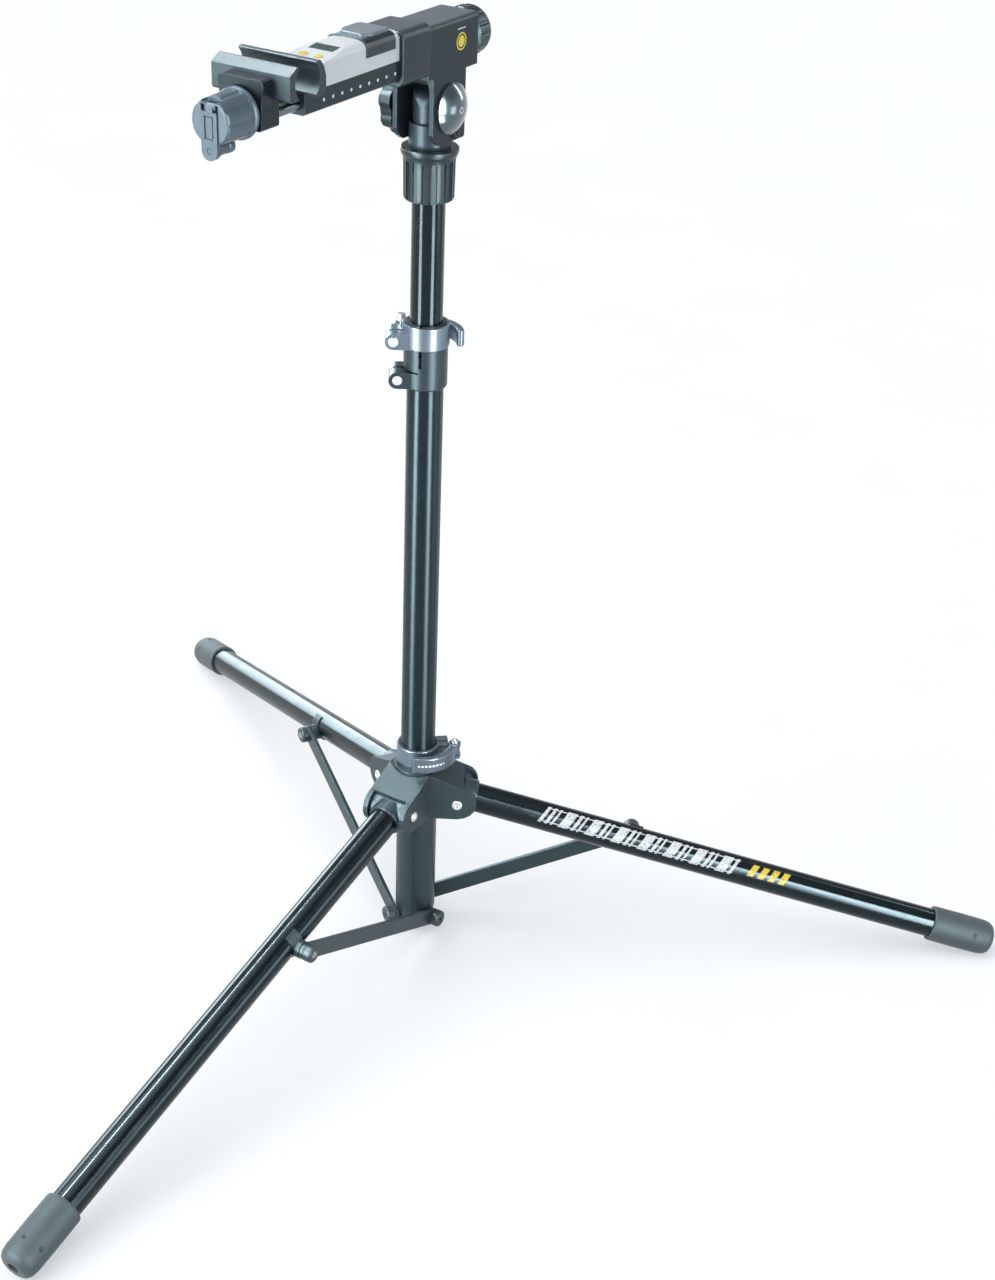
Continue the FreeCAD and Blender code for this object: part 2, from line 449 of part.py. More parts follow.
hw = STRUT_W / 2
bar = Part.Face(Part.makePolygon([sp(0, -hw), sp(SL, -hw), sp(SL, hw), sp(0, hw), sp(0, -hw)])).extrude(V(STRUT_T, 0, 0))
bar = fuse(bar, cyl(hw, (STRUT_X0, B[1], B[2]), (1, 0, 0), STRUT_T), cyl(hw, (STRUT_X0, Q[1], Q[2]), (1, 0, 0), STRUT_T))
bar = fillet(bar, 0.9, lambda e: e.Curve.TypeId == "Part::GeomLine" and e.Length > 150)
bar = bar.cut(cyl(4.06, (0, B[1], B[2]), (1, 0, 0), 60)).cut(cyl(4.0, (0, Q[1], Q[2]), (1, 0, 0), 60))
s_bolt = knob_bolt(0, X_HEAD - 0.2, STRUT_X0 + 0.05)
s_bolt.translate(V(0, Q[1], Q[2]))
for i in range(3):
    out("strut_%d" % (i + 1), turn(bar, Z, 120 * i))
    out("strut_knob_%d" % (i + 1), turn(s_bolt, Z, 120 * i))

# ------------------------------------------------------------------ upper tube
out("upper_tube", tube(UPPER_R, UPPER_R - UPPER_WALL, (0, 0, UPPER_Z0), Z, UPPER_Z1 - UPPER_Z0))
plug = fuse(cyl(MAIN_IN_R - 0.06, (0, 0, UPPER_Z0 - 9.0), Z, 9.0), cyl(UPPER_R - UPPER_WALL, (0, 0, UPPER_Z0 - 0.1), Z, 18.0))
plug = plug.cut(cyl(9.0, (0, 0, UPPER_Z0 - 10), Z, 40))
out("upper_tube_plug", plug)

# ribbed lock sleeve, flared at its top
ls = revolve_z([(0, LOCK_Z0), (LOCK_R - 1.6, LOCK_Z0), (LOCK_R - 0.4, LOCK_Z0 + 0.8), (LOCK_R, LOCK_Z0 + 2.4), (LOCK_R + 0.5, 878.0), (LOCK_R + 0.9, 881.5),
                (25.6, 884.6), (27.0, 887.4), (LOCK_TOP_R, 889.6), (LOCK_TOP_R, 891.6), (LOCK_TOP_R - 0.9, LOCK_Z1), (0, LOCK_Z1)])
for k in range(16):
    a = radians(22.5 * k)
    g = box(LOCK_R - 1.5, LOCK_R + 6, -2.7, 2.7, LOCK_Z0 - 1, 879.0)
    g = g.fuse(pose(cyl(2.7, (0, 0, 0), Z, 10), (0, 0, 1), (1, 0, 0), (LOCK_R - 1.5, 0, 879.0)))
    ls = ls.cut(turn(g, Z, 22.5 * k))
ls = ls.cut(cyl(UPPER_R + 0.1, (0, 0, 800), Z, 884.1 - 800)).cut(cyl(18.1, (0, 0, 884.0), Z, 30))
out("lock_sleeve", ls.removeSplitter())

# ------------------------------------------------------------------ mast head: stem, cup and tongue
T = (0, 0, TILT_Z)
FLAT = FORK_IN - 0.25
stem = cyl(UPPER_R - UPPER_WALL - 0.05, (0, 0, 800.0), Z, 892.0 - 800.0)
seat = cyl(18.0, (0, 0, 884.3), Z, 894.0 - 884.3)
cup = revolve_z([(0, 892.8), (19.4, 892.8), (20.0, 896.0), (20.0, 915.0), (19.0, 916.0), (18.0, 915.4), (17.9, 909.0), (0, 909.0)])
cup = cup.common(box(-FLAT, FLAT, -40, 40, 880, 930))
disc = cyl(25.6, (0, 0, 892.7), Z, 0.0 + 0.9).common(box(-40, 40, -40, 40, 880, 893.0))
tong = cyl(16.2, (0, 0, 895.0), Z, 40 + TILT_Z - 931.0).common(box(-FLAT, FLAT, -40, 40, 880, 960))
tong = cyl(16.2, (0, 0, 895.0), Z, TILT_Z + 20 - 895.0)
cap_c = fuse(box(-40, 40, -40, 40, 880, TILT_Z), cyl(16.2, (-40, 0, TILT_Z), (1, 0, 0), 80))
tong = tong.common(cap_c).common(box(-FLAT, FLAT, -40, 40, 880, 960))
head = fuse(stem, seat, cup, tong)
head = head.cut(cyl(5.05, (-40, 0, TILT_Z), (1, 0, 0), 80)).cut(cyl(8.5, (0, 0, 790), Z, 100))
out("mast_head", head)

# ------------------------------------------------------------------ head housing (fork above, arm bearing)
hs = box(-FORK_OUT, FORK_OUT, HOUSE_Y0, HOUSE_Y1, HOUSE_Z0 - 3.0, HOUSE_Z1)
hs = hs.makeFillet(4.5, [e for e in hs.Edges if along(e, 1) and e.CenterOfMass.z > 1000])
hs = hs.makeFillet(2.0, [e for e in hs.Edges if along(e, 2) and e.CenterOfMass.y > 40])
chk = prism_x([(-29, 961.0), (-29, 911.5), (-25.0, 905.0), (-17.6, 900.0), (24, 900.0), (24, 963.5), (-29, 963.5)], -FORK_OUT, FORK_OUT)
chk = fillet(chk, 2.5, lambda e: along(e, 0) and e.CenterOfMass.z < 905)
gapb = box(-FORK_IN, FORK_IN, -60, 60, 880, 952.0)
gapt = cyl(FORK_IN, (0, -60, 950.0), (0, 1, 0), 120)
hs = fuse(hs, chk)
hs = hs.cut(gapb).cut(gapt.common(box(-30, 30, -70, 70, 940, 962.2)))
hs = hs.cut(cyl(12.0, (0, -60, ARM_Z), (0, 1, 0), 120)).cut(cyl(5.0, (-40, 0, TILT_Z), (1, 0, 0), 80))
hs = hs.cut(cyl(9.0, (FORK_OUT - 1.6, 0, TILT_Z), (1, 0, 0), 5))
# screw boss low on the near cheek
hs = hs.fuse(cyl(4.8, (FORK_OUT - 0.1, 8.0, 906.2), (1, 0, 0), 2.4)).cut(cyl(2.3, (FORK_OUT + 0.9, 8.0, 906.2), (1, 0, 0), 2.4))
out("head_housing", hs.removeSplitter())
out("arm_bush", fuse(tube(12.0, 9.06, (0, HOUSE_Y0, ARM_Z), (0, 1, 0), HOUSE_Y1 - HOUSE_Y0)))

# tilt bolt: axle with a wide domed cap on the near side
dome = cyl(23.4, (FORK_OUT + 0.2, 0, TILT_Z), (1, 0, 0), 2.2)
sph_r = 34.0
sag = sph_r - sqrt(sph_r ** 2 - 23.4 ** 2)
sph = Part.makeSphere(sph_r, V(FORK_OUT + 2.4 - sph_r + sag, 0, TILT_Z))
dome = dome.fuse(sph.common(cyl(23.4, (FORK_OUT + 2.39, 0, TILT_Z), (1, 0, 0), 20)))
dome = fillet(dome, 0.8, lambda e: e.Curve.TypeId == "Part::GeomCircle" and abs(e.Curve.Radius - 23.4) < 1e-2)
spig = cyl(8.9, (FORK_OUT - 1.55, 0, TILT_Z), (1, 0, 0), 2.0)
axle = cyl(4.97, (-35.2, 0, TILT_Z), (1, 0, 0), FORK_OUT + 0.4 + 35.2)
washer = tube(13.0, 4.97, (-FORK_OUT - 1.7, 0, TILT_Z), (1, 0, 0), 1.6)
tb = fuse(dome, spig, axle)
# the boss of the low screw stays clear of the cap's rim
out("tilt_bolt", tb.cut(cyl(5.2, (FORK_OUT, 8.0, 906.2), (1, 0, 0), 20)), washer)
dome_clear = 1

# lobed tilt knob on the far side
tk = cyl(29.4, (0, 0, 0), Z, 12.6)
for k in range(8):
    a = radians(45 * k + 10)
    tk = tk.fuse(cyl(9.6, (22.9 * cos(a), 22.9 * sin(a), 0), Z, 12.6))
tk = tk.common(cyl(32.2, (0, 0, 0), Z, 12.6))
tk = fillet(tk, 1.8, lambda e: e.CenterOfMass.z > 12.5 and e.Length < 60)
tk = tk.cut(cyl(18.0, (0, 0, 10.6), Z, 5)).fuse(cyl(10.5, (0, 0, 10.0), Z, 4.2)).cut(cyl(5.03, (0, 0, -1), Z, 13.0))
tk = pose(tk.removeSplitter(), (0, 0, 1), (-1, 0, 0), (-FORK_OUT - 2.0, 0, TILT_Z))
out("tilt_knob", tk)

# ------------------------------------------------------------------ arm: shaft, collar, body
out("arm_shaft", cyl(9.0, (0, -58.0, ARM_Z), (0, 1, 0), 58.0 + 60.0))
ac = rrect_y(COLLAR_HALF, 966.0, 1014.6, 7.5, HOUSE_Y0 - 0.3, ARM_Y0)
ac = fillet(ac, 1.4, lambda e: abs(e.CenterOfMass.y - ARM_Y0) < 0.01 or abs(e.CenterOfMass.y - HOUSE_Y0 + 0.3) < 0.01)
ac = ac.cut(box(-ARM_HALF - 0.1, ARM_HALF + 0.1, ARM_Y0 - 5, -60.0, ARM_Z0 - 0.1, ARM_Z1 + 0.1)).cut(cyl(9.0, (0, -90, ARM_Z), (0, 1, 0), 120))
out("arm_collar", ac)

AY0 = -60.5
ab = box(-ARM_HALF, ARM_HALF, -205.0, AY0, ARM_Z0, ARM_SPLIT)
ab = fuse(ab, box(-ARM_HALF, ARM_HALF, ARM_Y1, -204.9, ARM_Z0, 992.6), box(-ARM_HALF, ARM_HALF, -214.8, -205.0, ARM_Z0, 1010.0))
ab = fillet(ab, 2.2, lambda e: along(e, 1) and e.CenterOfMass.z < ARM_Z0 + 0.5)
ab = ab.cut(box(-ARM_HALF + 2.6, ARM_HALF - 2.6, -196.0, AY0 - 3.0, ARM_Z0 + 2.4, ARM_SPLIT + 5))
ROD_X, ROD_Z, ROD_R = 13.4, 979.6, 4.0
for sx in (-1, 1):
    ab = ab.cut(cyl(ROD_R + 0.06, (sx * ROD_X, -230, ROD_Z), (0, 1, 0), 60))
ab = ab.cut(cyl(5.56, (0, -230, SCREW_Z), (0, 1, 0), 60))
# the fixed jaw's two screws sit in the nose
ab = ab.cut(cyl(9.0, (0, -62.0, ARM_Z), (0, 1, 0), 10))
# row of small punched marks along the near side, shallow
for k in range(9):
    y = -192.0 + k * 13.0
    ab = ab.cut(box(ARM_HALF - 0.35, ARM_HALF + 1, y - 1.0, y + 1.0, 979.8 - 0.9, 979.8 + 0.9))
out("arm_body", ab.removeSplitter())

# white scale shell: sloped display end, crowned top, hollow below
sh_side = [(-60.5, ARM_SPLIT), (-60.5, 1010.6), (-82.4, 1010.6), (-82.4, 1015.4), (-88.0, 1016.4), (-146.0, 1016.4), (-151.0, 1015.6), (-198.0, 1009.0), (-204.6, 1006.0), (-204.6, ARM_SPLIT)]
sh = prism_x(sh_side, -ARM_HALF, ARM_HALF)
crown = prism_y([(-ARM_HALF, 980.0), (ARM_HALF, 980.0), (ARM_HALF, 1009.6), (ARM_HALF - 1.0, 1012.2), (ARM_HALF - 3.2, 1014.2), (ARM_HALF - 8.0, 1015.8),
                 (0, 1016.6), (-ARM_HALF + 8.0, 1015.8), (-ARM_HALF + 3.2, 1014.2), (-ARM_HALF + 1.0, 1012.2), (-ARM_HALF, 1009.6)], -230, -40)
sh = sh.common(crown)
cav_side = [(-63.0, ARM_SPLIT - 1), (-63.0, 1008.0), (-146.0, 1008.0), (-198.0, 1004.6), (-202.2, 1003.0), (-202.2, ARM_SPLIT - 1)]
sh = sh.cut(prism_x(cav_side, -ARM_HALF + 2.2, ARM_HALF - 2.2))
# display recess and the two button wells on the slope
sl = atan2(1015.6 - 1009.0, 198.0 - 151.0)
zs = lambda y: 1015.6 + (y + 151.0) * (1009.0 - 1015.6) / (-198.0 + 151.0)


def on_slope(s, y, lift=0.0, x=0.0):
    """A shape built about the origin, laid on the display slope at y."""
    s = s.copy()
    s.rotate(V(0, 0, 0), V(1, 0, 0), degrees(sl))
    s.translate(V(x, y, zs(y)) + V(0, -sin(sl), cos(sl)) * lift)
    return s


LCD_HX, LCD_HY, LCD_Y = 12.6, 6.4, -162.6
sh = sh.cut(on_slope(box(-LCD_HX, LCD_HX, -LCD_HY, LCD_HY, -1.6, 5), LCD_Y))
oval = lambda rx, ry, z0, z1: fuse(box(-(rx - ry), rx - ry, -ry, ry, z0, z1), cyl(ry, (-(rx - ry), 0, z0), Z, z1 - z0), cyl(ry, (rx - ry, 0, z0), Z, z1 - z0))
BTN_Y, BTN_X = -182.0, 7.6
for sx in (-1, 1):
    sh = sh.cut(on_slope(oval(4.3, 3.1, -12, 6), BTN_Y, 0, sx * BTN_X))
# seat for the battery cover
cov_out = prism_x([(-88.5, 1001.6), (-88.5, 1030), (-131.6, 1030), (-131.6, 1001.6)], -40, 40)
sh_cov = sh.common(cov_out)
sh = sh.cut(cov_out.cut(prism_y([(-ARM_HALF + 1.1, 970), (ARM_HALF - 1.1, 970), (ARM_HALF - 1.1, 1009.0), (ARM_HALF - 3.4, 1012.6), (ARM_HALF - 8.4, 1014.3),
                                 (0, 1015.0), (-ARM_HALF + 8.4, 1014.3), (-ARM_HALF + 3.4, 1012.6), (-ARM_HALF + 1.1, 1009.0)], -140, -80)))
out("scale_shell", sh.removeSplitter())
lcd = on_slope(box(-LCD_HX + 0.1, LCD_HX - 0.1, -LCD_HY + 0.1, LCD_HY - 0.1, -1.55, -0.35), LCD_Y)
out("display_window", lcd)
for n, sx in (("button_left", -1), ("button_right", 1)):
    b = oval(4.1, 2.9, -4.0, 1.1)
    b = fillet(b, 0.6, lambda e: abs(e.CenterOfMass.z - 1.1) < 1e-3)
    b = fuse(b, oval(4.1, 2.9, -4.0, -2.0))
    out(n, on_slope(b, BTN_Y, 0, sx * BTN_X))

# battery cover: wraps the shell's top and upper sides, raised pad on top
bc = prism_y([(-ARM_HALF - 0.9, 1001.8), (ARM_HALF + 0.9, 1001.8), (ARM_HALF + 0.9, 1010.0), (ARM_HALF - 0.4, 1013.6), (ARM_HALF - 3.0, 1015.8), (ARM_HALF - 8.0, 1017.2),
              (0, 1018.0), (-ARM_HALF + 8.0, 1017.2), (-ARM_HALF + 3.0, 1015.8), (-ARM_HALF + 0.4, 1013.6), (-ARM_HALF - 0.9, 1010.0)], -131.4, -88.7)
inner = prism_y([(-ARM_HALF + 1.05, 970), (ARM_HALF - 1.05, 970), (ARM_HALF - 1.05, 1009.02), (ARM_HALF - 3.38, 1012.65), (ARM_HALF - 8.39, 1014.35),
                 (0, 1015.05), (-ARM_HALF + 8.39, 1014.35), (-ARM_HALF + 3.38, 1012.65), (-ARM_HALF + 1.05, 1009.02)], -140, -80)
bc = bc.cut(inner)
bc = fillet(bc, 0.5, lambda e: along(e, 1) and e.CenterOfMass.z > 1009)
pad = prism_z([(-13.0, -90.5), (-15.8, -94.0), (-15.8, -116.0), (-11.0, -125.5), (11.0, -125.5), (15.8, -116.0), (15.8, -94.0), (13.0, -90.5)], 1013.0, 1019.4)
pad = pad.cut(prism_z([(-40, -140), (40, -140), (40, -80), (-40, -80)], 1000, 1016.2))
pad = fillet(pad, 0.8, lambda e: abs(e.CenterOfMass.z - 1019.4) < 1e-3)
bc = bc.fuse(pad).cut(inner).removeSplitter()
# open rear end of the cover back to the collar stays clear of the shell's shoulder
out("battery_cover", bc.Solids[0] if len(bc.Solids) == 1 else max(bc.Solids, key=lambda s: s.Volume))

# load cell under the shell, with the circuit board on top of it
lc = box(-9.5, 9.5, -190.0, -120.0, 991.0, 1000.0).cut(cyl(3.6, (-20, -150.0, 995.5), (1, 0, 0), 40)).cut(cyl(3.6, (-20, -160.0, 995.5), (1, 0, 0), 40))
lc = lc.fuse(box(-17.5, 17.5, -128.0, -121.0, 990.0, 991.0))
out("load_cell", lc.removeSplitter())
out("circuit_board", box(-16.5, 16.5, -118.0, -70.0, 1002.0, 1003.6), box(-7.2, 7.2, -108.0, -80.0, 1003.6, 1007.2))

# ------------------------------------------------------------------ jaws
groove = cyl(JAW_R, (-60, JAW_Y, JAW_Z), (1, 0, 0), 120)
fj = prism_x([(JAW_Y + JAW_LIP, 994.4), (JAW_Y + JAW_LIP, 1020.9), (JAW_Y + JAW_LIP + 1.0, 1021.7), (JAW_Y + JAW_LIP + 5.6, 1021.7), (-217.6, 1016.0), (-214.8, 1008.0), (-214.8, 998.4), (-218.4, 993.0),
              (JAW_Y + JAW_LIP + 1.4, 993.0)], -JAW_HALF, JAW_HALF)
fj = fj.cut(groove)
fj = fj.cut(box(-ARM_HALF - 0.05, ARM_HALF + 0.05, -216.0, -200.0, 980, 993.0))
out("fixed_jaw", fj)
mj = prism_x([(JAW_Y - JAW_LIP, 994.6), (JAW_Y - JAW_LIP, 1020.9), (JAW_Y - JAW_LIP - 1.0, 1021.7), (JAW_Y - JAW_LIP - 2.4, 1021.7), (-263.4, 1016.0), (-263.4, 996.6),
              (-261.6, 994.6)], -JAW_HALF, JAW_HALF)
mj = mj.cut(groove)
out("moving_jaw", mj)

# carrier: rounded back plate behind the jaw, guide block below
pl = prism_y([(-20.4, 971.0), (20.4, 971.0), (20.4, 990.0), (23.0, 1008.4), (21.8, 1011.4), (19.0, 1012.6), (-19.0, 1012.6), (-21.8, 1011.4), (-23.0, 1008.4), (-20.4, 990.0)], -276.4, -263.5)
lb = box(-20.4, 20.4, -276.4, -253.0, 971.0, 990.4)
car = fuse(pl, lb)
car = fillet(car, 2.6, lambda e: (along(e, 1) and (e.CenterOfMass.z < 972)))
car = car.fuse(box(-20.4, 20.4, -263.6, -253.0, 990.3, 994.4).common(box(-20.4, 20.4, -263.5, -253.0, 990, 994.5)))
for sx in (-1, 1):
    car = car.cut(cyl(ROD_R, (sx * ROD_X, -300, ROD_Z), (0, 1, 0), 60))
car = car.cut(cyl(5.56, (0, -300, SCREW_Z), (0, 1, 0), 60)).fuse(tube(14.0, 5.56, (0, -278.9, SCREW_Z), (0, 1, 0), 2.6))
out("jaw_carrier", car.removeSplitter())
rods = [cyl(ROD_R, (sx * ROD_X, -275.0, ROD_Z), (0, 1, 0), 120.0) for sx in (-1, 1)]
out("guide_rods", *rods)

# ------------------------------------------------------------------ clamp knob, screw, crank
KL = KNOB_Y0 - KNOB_Y1
kb = revolve_z([(0, 0), (20.9, 0), (21.6, 0.8), (21.6, 3.2), (20.6, 4.6), (19.9, 9.0), (19.0, KL - 2.0), (18.2, KL - 0.5), (17.2, KL), (0, KL)])
for k in range(10):
    a = radians(36 * k + 18)
    g = pose(cyl(5.0, (0, 0, -2), Z, 40), (0, 0, 1), (-0.028 * cos(a), -0.028 * sin(a), 1), (24.1 * cos(a), 24.1 * sin(a), 8.0))
    kb = kb.cut(g)
# channel for the crank across the face, and the grip's pocket down one side (local -x is down)
kb = kb.cut(box(-40, 14.2, -8.5, 8.5, KL - 3.4, KL + 5)).cut(cyl(7.3, (-22.6, 0, KL - 27.0), Z, 40))
kb = kb.cut(box(-40, -22.6, -7.3, 7.3, KL - 27.0, KL + 5))
kb = kb.cut(box(9.4, 30, -5.2, 5.2, KL - 8.0, KL + 5)).cut(box(15.4, 30, -8.3, 8.3, KL - 7.4, KL + 5))


def to_knob(s):
    """Local Z to -Y, local x to +Z."""
    s = s.copy()
    s.rotate(V(0, 0, 0), V(0, 1, 0), -90)          # x -> z, z -> -x
    s.rotate(V(0, 0, 0), V(0, 0, 1), 90)           # -x -> -y
    s.translate(V(0, KNOB_Y0, SCREW_Z))
    return s


kb = kb.cut(cyl(5.0, (0, 0, -1), Z, 14.0))
HX = 12.6                                          # crank hinge height above the knob's axis
kb_l = kb.fuse(fuse(box(HX - 2.4, HX + 2.4, -5.3, -3.9, KL - 8.1, KL - 0.2), box(HX - 2.4, HX + 2.4, 3.9, 5.3, KL - 8.1, KL - 0.2)))
kb_l = kb_l.cut(cyl(1.6, (HX, -12, KL - 2.6), (0, 1, 0), 24))
out("clamp_knob", to_knob(kb_l.removeSplitter()))
out("lead_screw", to_knob(cyl(5.0, (0, 0, -135.0), Z, 147.9)))
# crank plate: from the hinge down past the knob's rim to a round end
ck = fuse(box(-22.6, HX - 4.0, -7.9, 7.9, KL - 3.1, KL + 1.6), cyl(7.9, (-22.6, 0, KL - 3.1), Z, 4.7), box(HX - 4.2, HX, -3.6, 3.6, KL - 3.1, KL + 1.0),
          cyl(2.6, (HX, -3.6, KL - 2.6), (0, 1, 0), 7.2))
ck = ck.cut(cyl(1.55, (HX, -12, KL - 2.6), (0, 1, 0), 24))
ck = ck.cut(box(-13.5, 5.5, -4.4, 4.4, KL + 0.3, KL + 3)).fuse(box(-12.4, 4.4, -3.3, 3.3, KL + 0.2, KL + 1.2))
ck = ck.cut(cyl(2.6, (-22.6, 0, KL + 0.6), Z, 3))
ck = fuse(ck, cyl(2.3, (-22.6, 0, KL - 24.0), Z, 25.0))
out("crank_arm", to_knob(ck), to_knob(cyl(1.55, (HX, -5.2, KL - 2.6), (0, 1, 0), 10.4)))
gr = revolve_z([(2.35, KL - 24.4), (5.6, KL - 24.4), (6.5, KL - 23.6), (6.5, KL - 18.0), (6.0, KL - 17.0), (6.0, KL - 9.0), (6.5, KL - 8.0), (6.5, KL - 4.2), (5.9, KL - 3.4), (2.35, KL - 3.4)])
gr.translate(V(-22.6, 0, 0))
out("crank_grip", to_knob(gr))

# ------------------------------------------------------------------ rear knob on the arm's shaft
rk = revolve_z([(0, 0), (20.0, 0), (21.2, 1.2), (23.0, 3.0), (23.0, 17.0), (22.0, 20.6), (19.4, 22.8), (0, 22.8)])
for k in range(14):
    a = 2 * pi * k / 14
    rk = rk.cut(cyl(2.6, (24.3 * cos(a), 24.3 * sin(a), 2.6), Z, 30))
rk = rk.cut(cyl(9.06, (0, 0, -1), Z, 17.0)).cut(cyl(14.0, (0, 0, 21.6), Z, 4))
rk.rotate(V(0, 0, 0), V(1, 0, 0), -90)             # z -> y
rk.translate(V(0, HOUSE_Y1 + 0.5, ARM_Z))
out("rear_knob", rk)

# ------------------------------------------------------------------ write
for name, sol in nodes.items():
    done = []
    for s in sol:
        s = s.copy()
        s.translate(V(0, 0, -FLOOR))
        if not s.isValid():
            print("INVALID", name)
        done.append(s)
    shp = done[0] if len(done) == 1 else Part.makeCompound(done)
    shp.exportStep("parts/%s.step" % name)
print(len(nodes), "nodes, floor at", round(FLOOR, 4))
print("strut length", round(SL, 3), "Q", [round(c, 3) for c in Q], "strut angle", round(degrees(atan2(dz, -dy)), 3))
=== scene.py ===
import bpy
import math
from math import sin, cos, radians, pi
from mathutils import Vector, Matrix


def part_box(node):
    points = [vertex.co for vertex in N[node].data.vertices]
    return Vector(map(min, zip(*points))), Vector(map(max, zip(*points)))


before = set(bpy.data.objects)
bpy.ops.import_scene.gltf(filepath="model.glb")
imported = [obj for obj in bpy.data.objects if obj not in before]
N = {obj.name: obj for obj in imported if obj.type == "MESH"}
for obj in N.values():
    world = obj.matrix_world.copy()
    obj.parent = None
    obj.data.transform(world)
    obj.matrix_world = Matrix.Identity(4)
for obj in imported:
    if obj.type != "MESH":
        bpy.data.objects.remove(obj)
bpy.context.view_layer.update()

sc = bpy.context.scene


# ---------------------------------------------------------------- shader helper
class Sh:
    """A small builder for procedural node materials. Coordinates are the row frame's, in metres, and ride with each body."""

    def __init__(self, name, bevel=0.0005, axis=None):
        self.m = bpy.data.materials.new(name)
        self.m.use_nodes = True
        self.t = self.m.node_tree
        self.n, self.l = self.t.nodes, self.t.links
        self.n.clear()
        self.o = self.n.new("ShaderNodeOutputMaterial")
        self.p = self.n.new("ShaderNodeBsdfPrincipled")
        self.l.new(self.p.outputs[0], self.o.inputs[0])
        self.tc = self.n.new("ShaderNodeTexCoord").outputs["Object"]
        self.geo = self.n.new("ShaderNodeNewGeometry")
        self.bev = None
        if bevel:
            b = self.n.new("ShaderNodeBevel")
            b.samples = 4
            b.inputs["Radius"].default_value = bevel
            self.bev = b.outputs[0]
        self.nrm = self.bev
        self.axis = axis

    def put(self, sock, v):
        if hasattr(v, "is_output") or isinstance(v, bpy.types.NodeSocket):
            self.l.new(v, sock)
        elif isinstance(v, (int, float)):
            try:
                sock.default_value = v
            except TypeError:
                sock.default_value = (v, v, v)
        else:
            v = tuple(v)
            if sock.type == "RGBA" and len(v) == 3:
                v = v + (1.0,)
            sock.default_value = v

    def mt(self, op, a, b=0.0, c=0.0, clamp=False):
        k = self.n.new("ShaderNodeMath")
        k.operation = op
        k.use_clamp = clamp
        for s, v in zip(k.inputs, (a, b, c)):
            self.put(s, v)
        return k.outputs[0]

    def vm(self, op, a, b=(0, 0, 0), scale=None):
        k = self.n.new("ShaderNodeVectorMath")
        k.operation = op
        self.put(k.inputs[0], a)
        self.put(k.inputs[1], b)
        if scale is not None:
            self.put(k.inputs["Scale"], scale)
        return k.outputs["Value"] if op in ("DOT_PRODUCT", "LENGTH", "DISTANCE") else k.outputs["Vector"]

    def sep(self, v):
        k = self.n.new("ShaderNodeSeparateXYZ")
        self.put(k.inputs[0], v)
        return k.outputs

    def comb(self, x, y, z):
        k = self.n.new("ShaderNodeCombineXYZ")
        for s, v in zip(k.inputs, (x, y, z)):
            self.put(s, v)
        return k.outputs[0]

    def noise(self, scale, detail=2.0, rough=0.5, vec=None, dist=0.0):
        k = self.n.new("ShaderNodeTexNoise")
        self.put(k.inputs["Vector"], self.tc if vec is None else vec)
        k.inputs["Scale"].default_value = scale
        k.inputs["Detail"].default_value = detail
        k.inputs["Roughness"].default_value = rough
        k.inputs["Distortion"].default_value = dist
        return k.outputs[0]

    def voro(self, scale, vec=None, feature="F1", rand=1.0):
        k = self.n.new("ShaderNodeTexVoronoi")
        k.feature = feature
        self.put(k.inputs["Vector"], self.tc if vec is None else vec)
        k.inputs["Scale"].default_value = scale
        k.inputs["Randomness"].default_value = rand
        return k.outputs["Distance"]

    def rng(self, v, a, b, c=0.0, d=1.0, smooth=False):
        k = self.n.new("ShaderNodeMapRange")
        k.clamp = True
        if smooth:
            k.interpolation_type = "SMOOTHSTEP"
        for s, x in zip(k.inputs, (v, a, b, c, d)):
            self.put(s, x)
        return k.outputs[0]

    def mix(self, fac, a, b):
        k = self.n.new("ShaderNodeMix")
        k.data_type = "RGBA"
        self.put(k.inputs[0], fac)
        self.put(k.inputs[6], a)
        self.put(k.inputs[7], b)
        return k.outputs[2]

    def fmix(self, fac, a, b):
        k = self.n.new("ShaderNodeMix")
        k.data_type = "FLOAT"
        self.put(k.inputs[0], fac)
        self.put(k.inputs[2], a)
        self.put(k.inputs[3], b)
        return k.outputs[0]

    def bump(self, h, strength=0.2, dist=0.0002, invert=False):
        k = self.n.new("ShaderNodeBump")
        k.invert = invert
        k.inputs["Strength"].default_value = strength
        k.inputs["Distance"].default_value = dist
        self.put(k.inputs["Height"], h)
        if self.nrm is not None:
            self.l.new(self.nrm, k.inputs["Normal"])
        self.nrm = k.outputs[0]
        return self.nrm

    def edge(self, lo=0.02, hi=0.35):
        """0 on flats, 1 on the rounded edges."""
        if self.bev is None:
            return 0.0
        d = self.vm("DOT_PRODUCT", self.bev, self.geo.outputs["Normal"])
        return self.rng(self.mt("SUBTRACT", 1.0, d), lo * 0.2, hi * 0.5)

    def band(self, v, lo, hi, soft=0.0001):
        """1 between lo and hi."""
        a = self.rng(v, lo - soft, lo + soft)
        b = self.rng(v, hi - soft, hi + soft, 1.0, 0.0)
        return self.mt("MULTIPLY", a, b)

